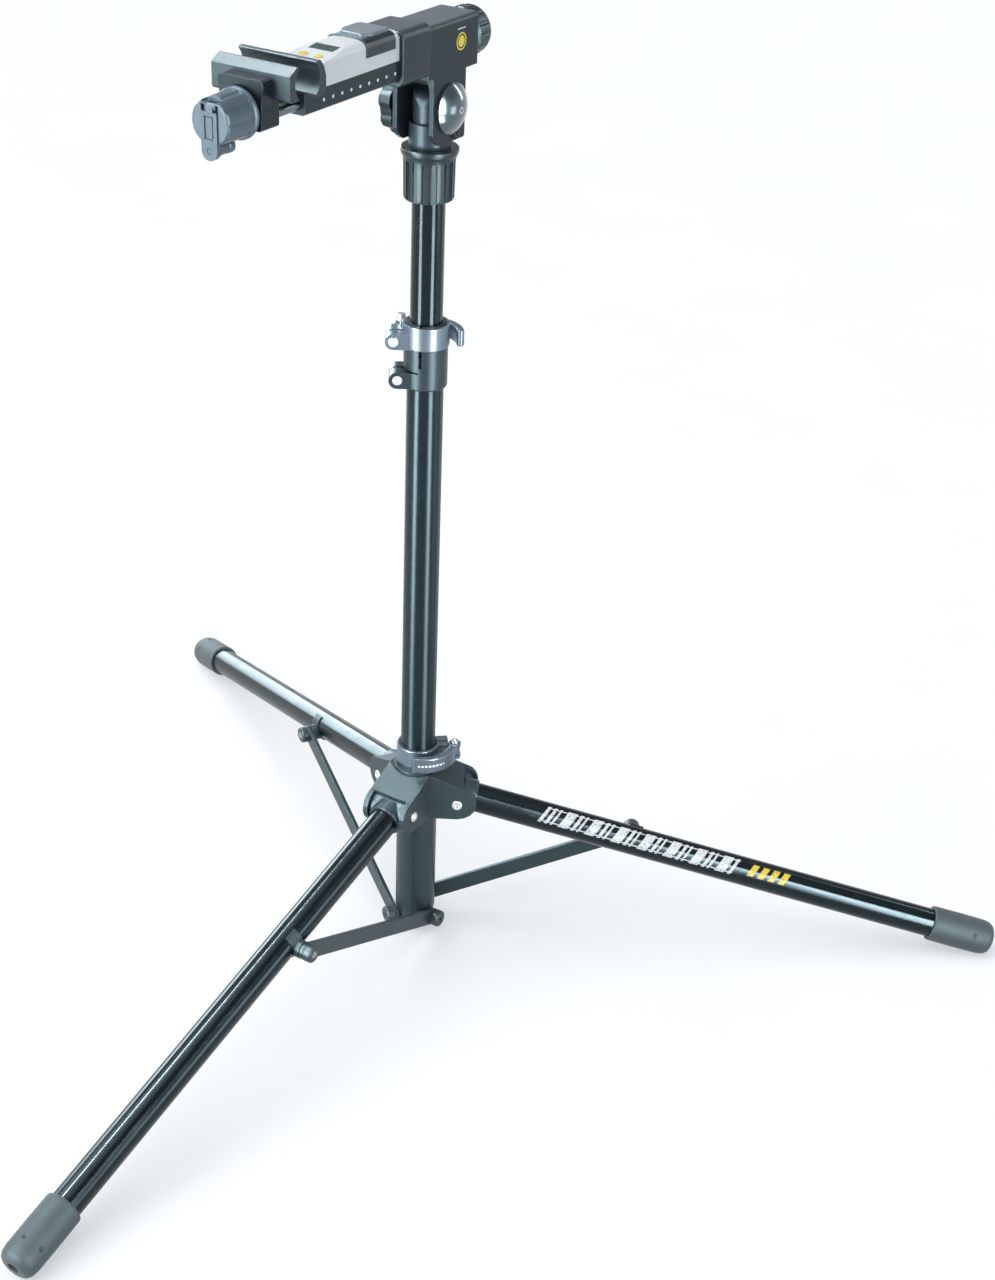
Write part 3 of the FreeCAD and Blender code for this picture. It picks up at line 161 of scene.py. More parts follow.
    def done(self, base, rough, metallic=0.0, spec=0.5, aniso=0.0, coat=0.0, coat_rough=0.05, tint=None, sheen=0.0):
        p = self.p
        self.put(p.inputs["Base Color"], base)
        self.put(p.inputs["Roughness"], rough)
        self.put(p.inputs["Metallic"], metallic)
        self.put(p.inputs["Specular IOR Level"], spec)
        if tint is not None:
            self.put(p.inputs["Specular Tint"], tint)
        self.put(p.inputs["Coat Weight"], coat)
        self.put(p.inputs["Coat Roughness"], coat_rough)
        self.put(p.inputs["Sheen Weight"], sheen)
        if aniso and self.axis is not None:
            p.inputs["Anisotropic"].default_value = aniso
            k = self.n.new("ShaderNodeVectorTransform")
            k.vector_type = "VECTOR"
            k.convert_from, k.convert_to = "OBJECT", "WORLD"
            k.inputs[0].default_value = self.axis
            self.l.new(k.outputs[0], p.inputs["Tangent"])
        if self.nrm is not None:
            self.l.new(self.nrm, p.inputs["Normal"])
        return self.m


def use(mat, *names):
    for n in names:
        o = N[n] if isinstance(n, str) else n
        o.data.materials.clear()
        o.data.materials.append(mat)


def grime(s, base, lift=1.25, scale=35.0):
    """Slow colour drift plus faint smudges."""
    a = s.noise(scale, 3.0, 0.6)
    b = s.noise(scale * 7, 2.0, 0.5)
    v = s.mt("ADD", s.mt("MULTIPLY", a, 0.65), s.mt("MULTIPLY", b, 0.35))
    f = s.rng(v, 0.34, 0.66)
    return s.mix(f, tuple(c / lift for c in base), tuple(min(1, c * lift) for c in base))


def painted_top_sheen(s, col, amount, tone):
    """Paints a pale sheen, mottled by noise, on the faces that look up when the stand is at rest: a painted highlight
    standing in for light from above, not dust.
    """
    t = s.n.new("ShaderNodeTexCoord")
    nz = s.sep(t.outputs["Normal"])[2]
    f = s.mt("MULTIPLY", s.rng(nz, 0.45, 0.98, smooth=True), s.rng(s.noise(45.0, 4.0, 0.6), 0.25, 0.75, 0.7, 1.0))
    return s.mix(s.mt("MULTIPLY", f, amount), col, tone)


def dust(s, amount=0.5, scale=900.0):
    """Sparse pale specks, 0..1."""
    d = s.voro(scale)
    return s.mt("MULTIPLY", s.rng(d, 0.06, 0.12, 1.0, 0.0), amount)


# ---------------------------------------------------------------- finishes
COOL = (0.66, 0.90, 1.0)


def tube_mat(name, axis, origin=(0, 0, 0), base=(0.004, 0.007, 0.009), rough=0.26, aniso=0.95, spec=0.40, print_at=None, grain=0.012):
    """Gloss black anodised drawn tube: fine lengthwise draw lines, smudges, dust, scuffs."""
    ax = Vector(axis).normalized()
    s = Sh(name, bevel=0.0004, axis=tuple(ax))
    rel = s.vm("SUBTRACT", s.tc, origin)
    al = s.vm("DOT_PRODUCT", rel, tuple(ax))
    across = s.vm("SUBTRACT", rel, s.vm("SCALE", tuple(ax), scale=al))
    # lengthwise streaks: squeeze the coordinate along the tube
    streak_v = s.vm("ADD", across, s.vm("SCALE", tuple(ax), scale=s.mt("MULTIPLY", al, 0.012)))
    streak = s.noise(2600.0, 2.0, 0.6, vec=streak_v)
    col = grime(s, base, 1.30, 22.0)
    col = s.mix(s.mt("MULTIPLY", s.rng(streak, 0.55, 0.8), 0.25), col, tuple(min(1, c * 2.4 + 0.004) for c in base))
    col = s.mix(dust(s, 0.20, 700.0), col, (0.20, 0.21, 0.22))
    scuff_v = s.vm("ADD", across, s.vm("SCALE", tuple(ax), scale=s.mt("MULTIPLY", al, 0.35)))
    scuff = s.rng(s.noise(160.0, 4.0, 0.7, vec=scuff_v, dist=0.8), 0.66, 0.74)
    col = s.mix(s.mt("MULTIPLY", scuff, 0.10), col, (0.16, 0.17, 0.18))
    r = s.mt("ADD", rough, s.mt("MULTIPLY", s.rng(s.noise(28.0, 3.0, 0.6), 0.35, 0.7), 0.05))
    r = s.mt("ADD", r, s.mt("MULTIPLY", scuff, 0.10))
    if print_at is not None:
        col, r = print_at(s, al, across, col, r)
    s.bump(streak, grain, 0.00005)
    return s.done(col, r, 0.0, spec, aniso=aniso, tint=COOL)


def satin(name, base, rough=0.42, metallic=0.0, spec=0.4, grain=0.10, edge_wear_and_highlight=0.35, edge_wear_and_highlight_col=(0.30, 0.33, 0.36), bevel=0.0006, gscale=2600.0, lift=1.12, extra=None, coat=0.0, up=0.0, top_sheen_col=(0.135, 0.165, 0.195)):
    """Bead-blasted anodised casting: fine grain, slow drift in tone, rounded edges painted paler, partly as wear and
    partly as a painted edge highlight.
    """
    s = Sh(name, bevel=bevel)
    g = s.noise(gscale, 2.0, 0.6)
    col = grime(s, base, lift, 40.0)
    col = s.mix(s.mt("MULTIPLY", s.rng(g, 0.45, 0.75), 0.22), col, tuple(min(1, c * 1.7 + 0.004) for c in base))
    # painted top sheen: when up is set, faces that look up are painted paler, standing in for light from above
    if up:
        col = painted_top_sheen(s, col, up, top_sheen_col)
    # rounded edges painted paler: partly worn anodising, partly a painted edge highlight
    e = s.mt("MULTIPLY", s.edge(), s.rng(s.noise(90.0, 4.0, 0.7), 0.38, 0.62, 0.35, 1.0))
    col = s.mix(s.mt("MULTIPLY", e, edge_wear_and_highlight), col, edge_wear_and_highlight_col)
    r = s.mt("ADD", rough - 0.03, s.mt("MULTIPLY", s.noise(60.0, 3.0, 0.6), 0.10))
    r = s.mt("SUBTRACT", r, s.mt("MULTIPLY", e, 0.08))
    if extra is not None:
        col, r = extra(s, col, r)
    s.bump(g, grain, 0.0001)
    return s.done(col, r, metallic, spec, coat=coat, coat_rough=0.12, tint=COOL)


def moulded(name, base, rough=0.5, grain=0.12, gscale=1500.0, lift=1.10, edge_wear_and_highlight=0.2, edge_wear_and_highlight_col=None, bevel=0.0006, spec=0.4, extra=None, sheen=0.0, tint=COOL, up=0.0, top_sheen_col=(0.135, 0.165, 0.195)):
    """Injection-moulded plastic: spark-eroded texture, slight gloss drift, rubbed edges painted paler, partly as wear
    and partly as a painted edge highlight.
    """
    s = Sh(name, bevel=bevel)
    g = s.voro(gscale)
    g2 = s.noise(gscale * 0.8, 2.0, 0.6)
    h = s.mt("ADD", s.mt("MULTIPLY", g, 0.5), s.mt("MULTIPLY", g2, 0.5))
    col = grime(s, base, lift, 55.0)
    # painted top sheen: when up is set, faces that look up are painted paler, standing in for light from above
    if up:
        col = painted_top_sheen(s, col, up, top_sheen_col)
    # rounded edges painted paler: partly rubbing, partly a painted edge highlight
    e = s.mt("MULTIPLY", s.edge(), s.rng(s.noise(120.0, 3.0, 0.6), 0.35, 0.65, 0.3, 1.0))
    wc = edge_wear_and_highlight_col or tuple(min(1, c * 1.5 + 0.02) for c in base)
    col = s.mix(s.mt("MULTIPLY", e, edge_wear_and_highlight), col, wc)
    col = s.mix(dust(s, 0.10, 1100.0), col, tuple(min(1, c * 1.6 + 0.06) for c in base))
    r = s.mt("ADD", rough - 0.04, s.mt("MULTIPLY", s.noise(70.0, 3.0, 0.6), 0.12))
    if extra is not None:
        col, r = extra(s, col, r)
    s.bump(h, grain, 0.0001)
    return s.done(col, r, 0.0, spec, sheen=sheen, tint=tint)


def steel(name, axis=(0, 0, 1), base=(0.62, 0.64, 0.66), rough=0.26, bevel=0.0003):
    """Turned and polished steel: fine rings round the axis."""
    ax = Vector(axis).normalized()
    s = Sh(name, bevel=bevel, axis=tuple(ax))
    al = s.vm("DOT_PRODUCT", s.tc, tuple(ax))
    ring = s.noise(1.0, 2.0, 0.6, vec=s.comb(s.mt("MULTIPLY", al, 5000.0), 0.0, 0.0))
    pits = s.rng(s.noise(900.0, 3.0, 0.7), 0.62, 0.78)
    col = s.mix(s.mt("MULTIPLY", pits, 0.35), grime(s, base, 1.06, 120.0), (0.24, 0.25, 0.26))
    r = s.mt("ADD", rough, s.mt("MULTIPLY", ring, 0.10))
    s.bump(ring, 0.06, 0.00005)
    return s.done(col, r, 1.0, 0.5)



# ---------------------------------------------------------------- tubes
LEG_DROP = radians(15.145)


def rz(v, deg):
    c, s_ = cos(radians(deg)), sin(radians(deg))
    return Vector((v[0] * c - v[1] * s_, v[0] * s_ + v[1] * c, v[2]))


PIVOT = (0.0, -0.0447, 0.1778161)
LEG_DIR = (0.0, -cos(LEG_DROP), -sin(LEG_DROP))


def leg_print(s, al, across, col, r):
    """Plain printed blocks along the leg: pale bars, then a short yellow run. No lettering."""
    up = Vector((0, 0, 1)) - Vector(LEG2) * Vector(LEG2).z
    up.normalize()
    side = Vector(LEG2).cross(up)
    hu = s.vm("DOT_PRODUCT", across, tuple(up))
    hs = s.vm("DOT_PRODUCT", across, tuple(side))
    ang = s.mt("ARCTAN2", hs, hu)                     # 0 at the tube's top
    arc = s.mt("MULTIPLY", ang, 0.0159)               # metres round the tube
    lo, hi = PRINT_A0, PRINT_A1
    mid = s.band(arc, lo, hi)
    # slanted bars of three widths
    sl = s.mt("ADD", al, s.mt("MULTIPLY", arc, 0.45))
    ph = s.mt("FRACT", s.mt("MULTIPLY", sl, 1.0 / 0.030))
    bar = s.mt("ADD", s.band(ph, 0.10, 0.46, 0.006), s.band(ph, 0.58, 0.70, 0.006))
    bar = s.mt("ADD", bar, s.band(ph, 0.80, 0.88, 0.006), clamp=True)
    white = s.mt("MULTIPLY", s.mt("MULTIPLY", bar, s.band(sl, 0.100, 0.322)), mid)
    lines = s.mt("ADD", s.band(arc, lo + 0.0016, lo + 0.0030, 0.00008), s.band(arc, hi - 0.0030, hi - 0.0016, 0.00008), clamp=True)
    white = s.mt("MAXIMUM", white, s.mt("MULTIPLY", lines, s.band(sl, 0.100, 0.322)))
    yel = s.mt("MULTIPLY", s.mt("MULTIPLY", s.band(s.mt("FRACT", s.mt("MULTIPLY", sl, 1.0 / 0.012)), 0.12, 0.72, 0.012), s.band(sl, 0.336, 0.384)), s.band(arc, lo + 0.002, hi - 0.004))
    worn = s.rng(s.noise(420.0, 4.0, 0.75), 0.36, 0.44)
    white, yel = s.mt("MULTIPLY", white, worn), s.mt("MULTIPLY", yel, worn)
    col = s.mix(white, col, (0.70, 0.72, 0.73))
    col = s.mix(yel, col, (0.78, 0.58, 0.04))
    both = s.mt("MAXIMUM", white, yel)
    return col, s.fmix(both, r, 0.45)


PRINT_A0, PRINT_A1 = 0.0035, 0.0235
LEG2 = tuple(rz(LEG_DIR, 120))

mast_axis = (0, 0, 1)
main_tube = tube_mat("main_tube_finish", mast_axis, base=(0.006, 0.016, 0.021), rough=0.29, aniso=0.95, spec=0.34)
up_tube = tube_mat("upper_tube_finish", mast_axis, base=(0.002, 0.0035, 0.005), rough=0.105, aniso=0.95, grain=0.003, spec=0.38)
use(main_tube, "main_mast_tube")
use(up_tube, "upper_tube")
for i in (1, 2, 3):
    ax = rz(LEG_DIR, 120 * (i - 1))
    og = rz(PIVOT, 120 * (i - 1))
    use(tube_mat("leg_tube_finish_%d" % i, tuple(ax), tuple(og), base=(0.004, 0.007, 0.009), rough=0.16, aniso=0.9, grain=0.006, spec=0.33,
                 print_at=leg_print if i == 2 else None), "leg_tube_%d" % i)

# ---------------------------------------------------------------- castings
HUB = (0.018, 0.031, 0.036)
hub_mat = satin("hub_finish", HUB, rough=0.46, grain=0.12, edge_wear_and_highlight=0.30, edge_wear_and_highlight_col=(0.14, 0.17, 0.19))
sleeve_mat = satin("sleeve_finish", (0.018, 0.032, 0.037), rough=0.34, grain=0.05, edge_wear_and_highlight=0.35, edge_wear_and_highlight_col=(0.20, 0.23, 0.25))
use(hub_mat, "hub_body", "base_bracket")
use(sleeve_mat, "base_sleeve")
use(satin("socket_finish", (0.032, 0.052, 0.066), rough=0.36, grain=0.10, edge_wear_and_highlight=0.35, edge_wear_and_highlight_col=(0.24, 0.28, 0.31)), "leg_socket_1", "leg_socket_2", "leg_socket_3")
use(satin("collar_finish", (0.022, 0.033, 0.042), rough=0.32, grain=0.06, edge_wear_and_highlight=0.4, edge_wear_and_highlight_col=(0.22, 0.25, 0.28)), "mast_collar")
use(satin("ring_finish", (0.150, 0.185, 0.225), rough=0.28, grain=0.06, edge_wear_and_highlight=0.6, edge_wear_and_highlight_col=(0.50, 0.54, 0.58), metallic=0.45), "upper_clamp_ring", "hub_clamp_ring", "upper_lever")


def lever_print(s, col, r):
    """One plain pale dash along the lever's outer face."""
    x, y, z = s.sep(s.tc)[:3]
    ang = s.mt("ARCTAN2", y, x)
    m = s.mt("MULTIPLY", s.band(z, 0.2292, 0.2316), s.band(ang, -0.98, -0.18, 0.01))
    f = s.mt("FRACT", s.mt("MULTIPLY", ang, 9.0))
    m = s.mt("MULTIPLY", m, s.band(f, 0.10, 0.78, 0.03))
    return s.mix(m, col, (0.72, 0.75, 0.77)), s.fmix(m, r, 0.5)


use(satin("hub_lever_finish", (0.135, 0.170, 0.205), rough=0.28, grain=0.06, edge_wear_and_highlight=0.6, edge_wear_and_highlight_col=(0.48, 0.52, 0.56), metallic=0.35, extra=lever_print), "hub_lever")

strut_mat = satin("strut_finish", (0.026, 0.042, 0.048), rough=0.34, grain=0.05, edge_wear_and_highlight=0.5, edge_wear_and_highlight_col=(0.24, 0.28, 0.30))
use(strut_mat, "strut_1", "strut_2", "strut_3")
use(moulded("boss_finish", (0.030, 0.040, 0.045), rough=0.45), "strut_boss_1", "strut_boss_2", "strut_boss_3")

KB = 0.0092


def knob_centre(ax, centre):
    """A bright hexagon socket face in the middle of a round knob."""
    a = Vector(ax).normalized()
    u = a.orthogonal().normalized()
    w = a.cross(u)

    def f(s, col, r):
        rel = s.vm("SUBTRACT", s.tc, centre)
        pu, pw = s.vm("DOT_PRODUCT", rel, tuple(u)), s.vm("DOT_PRODUCT", rel, tuple(w))
        rad = s.mt("SQRT", s.mt("ADD", s.mt("POWER", pu, 2.0), s.mt("POWER", pw, 2.0)))
        m = s.rng(rad, 0.0034, 0.0037, 1.0, 0.0)
        return s.mix(m, col, (0.55, 0.57, 0.58)), s.fmix(m, r, 0.3)

    return f


for i in (1, 2, 3):
    d = 120 * (i - 1)
    lo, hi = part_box("strut_knob_1")
    c1 = rz(((lo.x + hi.x) / 2, (lo.y + hi.y) / 2, (lo.z + hi.z) / 2), d)
    use(satin("strut_knob_finish_%d" % i, (0.040, 0.050, 0.056), rough=0.36, edge_wear_and_highlight=0.7, edge_wear_and_highlight_col=(0.30, 0.33, 0.35), extra=knob_centre(rz((1, 0, 0), d), tuple(c1))), "strut_knob_%d" % i)
use(satin("bracket_knob_finish", (0.036, 0.045, 0.050), rough=0.36, edge_wear_and_highlight=0.7, edge_wear_and_highlight_col=(0.30, 0.33, 0.35)), "bracket_knobs")

use(steel("bolt_steel", (0, 0, 1), rough=0.24), "leg_pivot_bolts", "hub_clamp_hardware", "upper_clamp_hardware")
use(steel("rod_steel", (0, 1, 0), base=(0.13, 0.15, 0.17), rough=0.18), "guide_rods", "arm_shaft", "lead_screw")

# ---------------------------------------------------------------- plastics and rubber
use(moulded("liner_finish", (0.020, 0.026, 0.028), rough=0.42), "hub_liner", "collar_liner", "arm_bush", "upper_tube_plug")
use(moulded("lock_sleeve_finish", (0.010, 0.015, 0.018), rough=0.32, edge_wear_and_highlight=0.5, edge_wear_and_highlight_col=(0.10, 0.12, 0.13), grain=0.08), "lock_sleeve")
use(moulded("rear_knob_finish", (0.014, 0.021, 0.025), rough=0.36, edge_wear_and_highlight=0.5, edge_wear_and_highlight_col=(0.12, 0.14, 0.15)), "rear_knob")
use(moulded("tilt_knob_finish", (0.006, 0.009, 0.012), spec=0.25, rough=0.28, edge_wear_and_highlight=0.5, edge_wear_and_highlight_col=(0.09, 0.10, 0.11)), "tilt_knob")


def foot_rub(s, col, r):
    z = s.sep(s.tc)[2]
    low = s.mt("MULTIPLY", s.rng(z, 0.0, 0.016, 1.0, 0.0), s.rng(s.noise(150.0, 4.0, 0.7), 0.35, 0.6))
    return s.mix(s.mt("MULTIPLY", low, 0.45), col, (0.16, 0.155, 0.145)), s.mt("ADD", r, s.mt("MULTIPLY", low, 0.1))


rub = moulded("foot_rubber", (0.040, 0.050, 0.055), rough=0.62, grain=0.25, gscale=900.0, edge_wear_and_highlight=0.5, edge_wear_and_highlight_col=(0.13, 0.14, 0.145), bevel=0.0010, extra=foot_rub, sheen=0.15)
use(rub, "foot_cap_1", "foot_cap_2", "foot_cap_3")

# ---------------------------------------------------------------- head
use(satin("stem_finish", (0.036, 0.052, 0.068), spec=0.26, rough=0.36, grain=0.05, edge_wear_and_highlight=0.5, edge_wear_and_highlight_col=(0.30, 0.34, 0.37), bevel=0.0008), "mast_head")


def badge(s, col, r):
    """A plain round badge on the housing's side: pale ring, yellow disc."""
    x, y, z = s.sep(s.tc)[:3]
    dy, dz = s.mt("SUBTRACT", y, 0.0150), s.mt("SUBTRACT", z, 0.9845)
    rad = s.mt("SQRT", s.mt("ADD", s.mt("POWER", dy, 2.0), s.mt("POWER", dz, 2.0)))
    side = s.rng(x, 0.0205, 0.0210)
    ring = s.mt("MULTIPLY", s.band(rad, 0.0066, 0.0080), side)
    disc = s.mt("MULTIPLY", s.rng(rad, 0.0050, 0.0053, 1.0, 0.0), side)
    dash = s.mt("MULTIPLY", s.mt("MULTIPLY", s.band(z, 0.9955, 0.9967), s.band(y, 0.0085, 0.0215)), side)
    col = s.mix(s.mt("MAXIMUM", dash, 0.0), col, (0.62, 0.65, 0.67))
    col = s.mix(s.mt("MAXIMUM", disc, ring), col, (0.80, 0.62, 0.05))
    return col, s.fmix(s.mt("MAXIMUM", s.mt("MAXIMUM", disc, ring), dash), r, 0.45)


# up paints a pale sheen on the housing's top faces: painted highlight
use(satin("housing_finish", (0.012, 0.019, 0.026), rough=0.30, grain=0.02, edge_wear_and_highlight=0.40, edge_wear_and_highlight_col=(0.22, 0.26, 0.30), bevel=0.0014, spec=0.22, up=0.55, extra=badge), "head_housing")


def cap_dot(s, col, r):
    """Small pale ring at the middle of the domed cap."""
    x, y, z = s.sep(s.tc)[:3]
    dy, dz = y, s.mt("SUBTRACT", z, 0.9271)
    rad = s.mt("SQRT", s.mt("ADD", s.mt("POWER", dy, 2.0), s.mt("POWER", dz, 2.0)))
    m = s.mt("MULTIPLY", s.band(rad, 0.0020, 0.0031), s.rng(x, 0.030, 0.0305))
    return s.mix(m, col, (0.70, 0.73, 0.75)), r


use(satin("dome_finish", (0.034, 0.050, 0.064), rough=0.17, metallic=0.0, spec=0.9, grain=0.01, edge_wear_and_highlight=0.3, bevel=0.0004, coat=0.6, extra=cap_dot), "tilt_bolt")
# up paints a pale sheen on the collar's top faces: painted highlight
use(satin("arm_collar_finish", (0.016, 0.024, 0.031), rough=0.30, grain=0.02, edge_wear_and_highlight=0.45, edge_wear_and_highlight_col=(0.20, 0.24, 0.27), bevel=0.0014, spec=0.26, up=0.30), "arm_collar")


def arm_marks(s, col, r):
    """The row of small punched marks is filled with white paint."""
    x, y, z = s.sep(s.tc)[:3]
    k = s.mt("MULTIPLY", s.mt("SUBTRACT", s.mt("FRACT", s.mt("ADD", s.mt("MULTIPLY", s.mt("ADD", y, 0.192), 1.0 / 0.013), 0.5)), 0.5), 0.013)
    dz = s.mt("SUBTRACT", z, 0.97591)
    rad = s.mt("SQRT", s.mt("ADD", s.mt("POWER", k, 2.0), s.mt("POWER", dz, 2.0)))
    m = s.rng(rad, 0.00145, 0.00155, 1.0, 0.0)
    m = s.mt("MULTIPLY", m, s.band(y, -0.1940, -0.0860))
    m = s.mt("MULTIPLY", m, s.rng(x, 0.0200, 0.02005))
    return s.mix(m, col, (0.80, 0.82, 0.83)), s.fmix(m, r, 0.5)


use(satin("arm_finish", (0.013, 0.020, 0.026), spec=0.24, rough=0.30, grain=0.05, edge_wear_and_highlight=0.45, edge_wear_and_highlight_col=(0.20, 0.23, 0.26), bevel=0.0007, extra=arm_marks), "arm_body")
use(moulded("shell_finish", (0.62, 0.66, 0.70), rough=0.30, grain=0.04, lift=1.03, edge_wear_and_highlight=0.25, edge_wear_and_highlight_col=(0.82, 0.83, 0.84), bevel=0.0007, tint=(1, 1, 1)), "scale_shell")


def cover_pad(s, col, r):
    """The raised finger pad on the battery cover is moulded in paler plastic."""
    x, y, z = s.sep(s.tc)[:3]
    m = s.rng(z, 1.0122 - 0.0002 + 0.0005, 1.0122 + 0.0006)
    f = s.mt("FRACT", s.mt("MULTIPLY", y, 1.0 / 0.0030))
    return s.mix(m, col, (0.150, 0.178, 0.210)), r


use(moulded("cover_finish", (0.014, 0.020, 0.026), rough=0.28, grain=0.05, edge_wear_and_highlight=0.35, bevel=0.0007, extra=cover_pad), "battery_cover")


def lcd(name):
    """Grey-green liquid crystal with a row of unlit seven-bar digits and a thin frame."""
    s = Sh(name, bevel=0.0002)
    x, y, z = s.sep(s.tc)[:3]
    v = s.mt("MULTIPLY", s.mt("ADD", y, 0.1626), 1.0095)     # along the slope from the window's centre
    pitch = 0.0042
    u = s.mt("SUBTRACT", s.mt("FRACT", s.mt("ADD", s.mt("MULTIPLY", x, 1.0 / pitch), 0.5)), 0.5)
    u = s.mt("MULTIPLY", u, pitch)
    au = s.mt("ABSOLUTE", u)
    av = s.mt("ABSOLUTE", v)
    hw, hh, t = 0.00125, 0.0030, 0.00032
    post = s.mt("MULTIPLY", s.band(au, hw - t, hw + t, 0.00003), s.band(av, 0.0003, hh - 0.0002, 0.00003))
    bars = s.mt("ADD", s.rng(av, t, t + 0.00004, 1.0, 0.0), s.band(av, hh - t, hh + t, 0.00003), clamp=True)
    bars = s.mt("MULTIPLY", bars, s.rng(au, hw - 0.0002, hw - 0.00016, 1.0, 0.0))
    inside = s.rng(s.mt("ABSOLUTE", x), pitch * 1.5, pitch * 1.5 + 0.0001, 1.0, 0.0)
    seg = s.mt("MULTIPLY", s.mt("MAXIMUM", post, bars), inside)
    rim = s.mt("MAXIMUM", s.rng(s.mt("ABSOLUTE", x), 0.0108, 0.0110), s.rng(av, 0.0050, 0.0052))
    col = grime(s, (0.040, 0.085, 0.080), 1.06, 60.0)
    col = s.mix(s.mt("MULTIPLY", seg, 0.75), col, (0.010, 0.020, 0.020))
    col = s.mix(rim, col, (0.020, 0.034, 0.036))
    g = s.noise(400.0, 2.0)
    return s.done(col, s.mt("ADD", 0.07, s.mt("MULTIPLY", g, 0.05)), 0.0, 0.5, coat=0.5)


use(lcd("display_finish"), "display_window")


def btn(s, col, r):
    """A thin darker moulded bar across the button."""
    x, y, z = s.sep(s.tc)[:3]
    m = s.mt("MULTIPLY", s.band(s.mt("ABSOLUTE", s.mt("SUBTRACT", s.mt("ABSOLUTE", x), 0.0076)), -1.0, 0.0018), s.band(y, -0.18215, -0.18150))
    return s.mix(s.mt("MULTIPLY", m, 0.75), col, (0.30, 0.24, 0.05)), r


use(moulded("button_finish", (0.70, 0.52, 0.09), rough=0.34, grain=0.04, lift=1.05, edge_wear_and_highlight=0.4, edge_wear_and_highlight_col=(0.9, 0.82, 0.45), bevel=0.0004, extra=btn), "button_left", "button_right")
# up paints a pale sheen on the top faces of the jaws and the carrier: painted highlight
use(moulded("jaw_finish", (0.024, 0.034, 0.043), spec=0.26, up=0.28, rough=0.36, grain=0.10, gscale=1200.0, edge_wear_and_highlight=0.55, edge_wear_and_highlight_col=(0.13, 0.15, 0.165), bevel=0.0008), "fixed_jaw", "moving_jaw")
use(satin("carrier_finish", (0.008, 0.012, 0.016), spec=0.22, up=0.25, rough=0.28, grain=0.06, edge_wear_and_highlight=0.5, edge_wear_and_highlight_col=(0.30, 0.34, 0.37), bevel=0.0008), "jaw_carrier")
use(moulded("clamp_knob_finish", (0.082, 0.112, 0.142), spec=0.30, rough=0.40, grain=0.08, edge_wear_and_highlight=0.5, edge_wear_and_highlight_col=(0.36, 0.42, 0.47), bevel=0.0008), "clamp_knob")
use(moulded("crank_finish", (0.076, 0.104, 0.132), spec=0.30, rough=0.36, grain=0.05, edge_wear_and_highlight=0.6, edge_wear_and_highlight_col=(0.38, 0.43, 0.48), bevel=0.0005), "crank_arm", "crank_grip")
use(moulded("board_finish", (0.010, 0.075, 0.030), rough=0.35, grain=0.05, bevel=0.0002), "circuit_board")
use(satin("cell_finish", (0.55, 0.57, 0.58), rough=0.35, grain=0.1, metallic=0.9, lift=1.05), "load_cell")

# ---------------------------------------------------------------- floor, light, camera
def floor_mat():
    s = Sh("floor_finish", bevel=0)
    s.nrm = None
    a = s.noise(3.0, 3.0, 0.6)
    col = s.mix(s.rng(a, 0.3, 0.7), (0.42, 0.425, 0.43), (0.44, 0.445, 0.45))
    fine = s.noise(900.0, 2.0, 0.6)
    s.bump(fine, 0.04, 0.0002)
    s.put(s.p.inputs["Emission Color"], (0.93, 0.965, 1.0))
    s.put(s.p.inputs["Emission Strength"], 0.53)
    return s.done(col, s.mt("ADD", 0.8, s.mt("MULTIPLY", a, 0.1)), 0.0, 0.0)


bpy.ops.mesh.primitive_plane_add(size=160.0, location=(0, 0, 0))
floor = bpy.context.object
floor.name = "floor"
floor.data.materials.append(floor_mat())


def area(name, loc, look, sx, sy, power, col=(1, 1, 1)):
    li = bpy.data.lights.new(name, "AREA")
    li.shape = "RECTANGLE"
    li.size, li.size_y = sx, sy
    li.energy = power
    li.color = col
    o = bpy.data.objects.new(name, li)
    sc.collection.objects.link(o)
    o.location = loc
    o.rotation_mode = "QUATERNION"
    o.rotation_quaternion = (Vector(look) - Vector(loc)).to_track_quat("-Z", "Y")
    o.visible_camera = False
    return o


w = bpy.data.worlds.new("studio")
sc.world = w
w.use_nodes = True
wt = w.node_tree
bg = wt.nodes["Background"]
# pale horizon, darker overhead
wc = wt.nodes.new("ShaderNodeTexCoord")
wz = wt.nodes.new("ShaderNodeSeparateXYZ")
wr = wt.nodes.new("ShaderNodeMapRange")
wr.interpolation_type = "SMOOTHSTEP"
wt.links.new(wc.outputs["Generated"], wz.inputs[0])
wt.links.new(wz.outputs[2], wr.inputs[0])
for k, v in zip(wr.inputs[1:5], (0.04, 0.42, 0.95, 0.34)):
    k.default_value = v
bg.inputs[0].default_value = (0.93, 0.965, 1.0, 1)
# the floor melts into a slightly brighter band at the horizon
wh = wt.nodes.new("ShaderNodeMapRange")
wh.interpolation_type = "SMOOTHSTEP"
wt.links.new(wz.outputs[2], wh.inputs[0])
for k, v in zip(wh.inputs[1:5], (0.02, 0.16, 0.13, 0.0)):
    k.default_value = v
wa = wt.nodes.new("ShaderNodeMath")
wt.links.new(wr.outputs[0], wa.inputs[0])
wt.links.new(wh.outputs[0], wa.inputs[1])
wt.links.new(wa.outputs[0], bg.inputs[1])

sun_d = bpy.data.lights.new("soft_top", "SUN")
sun_d.energy = 2.45
sun_d.angle = radians(75)
sun = bpy.data.objects.new("soft_top", sun_d)
sc.collection.objects.link(sun)
sun.rotation_mode = "QUATERNION"
sun.rotation_quaternion = Vector((0.22, 0.30, -1.0)).to_track_quat("-Z", "Y")


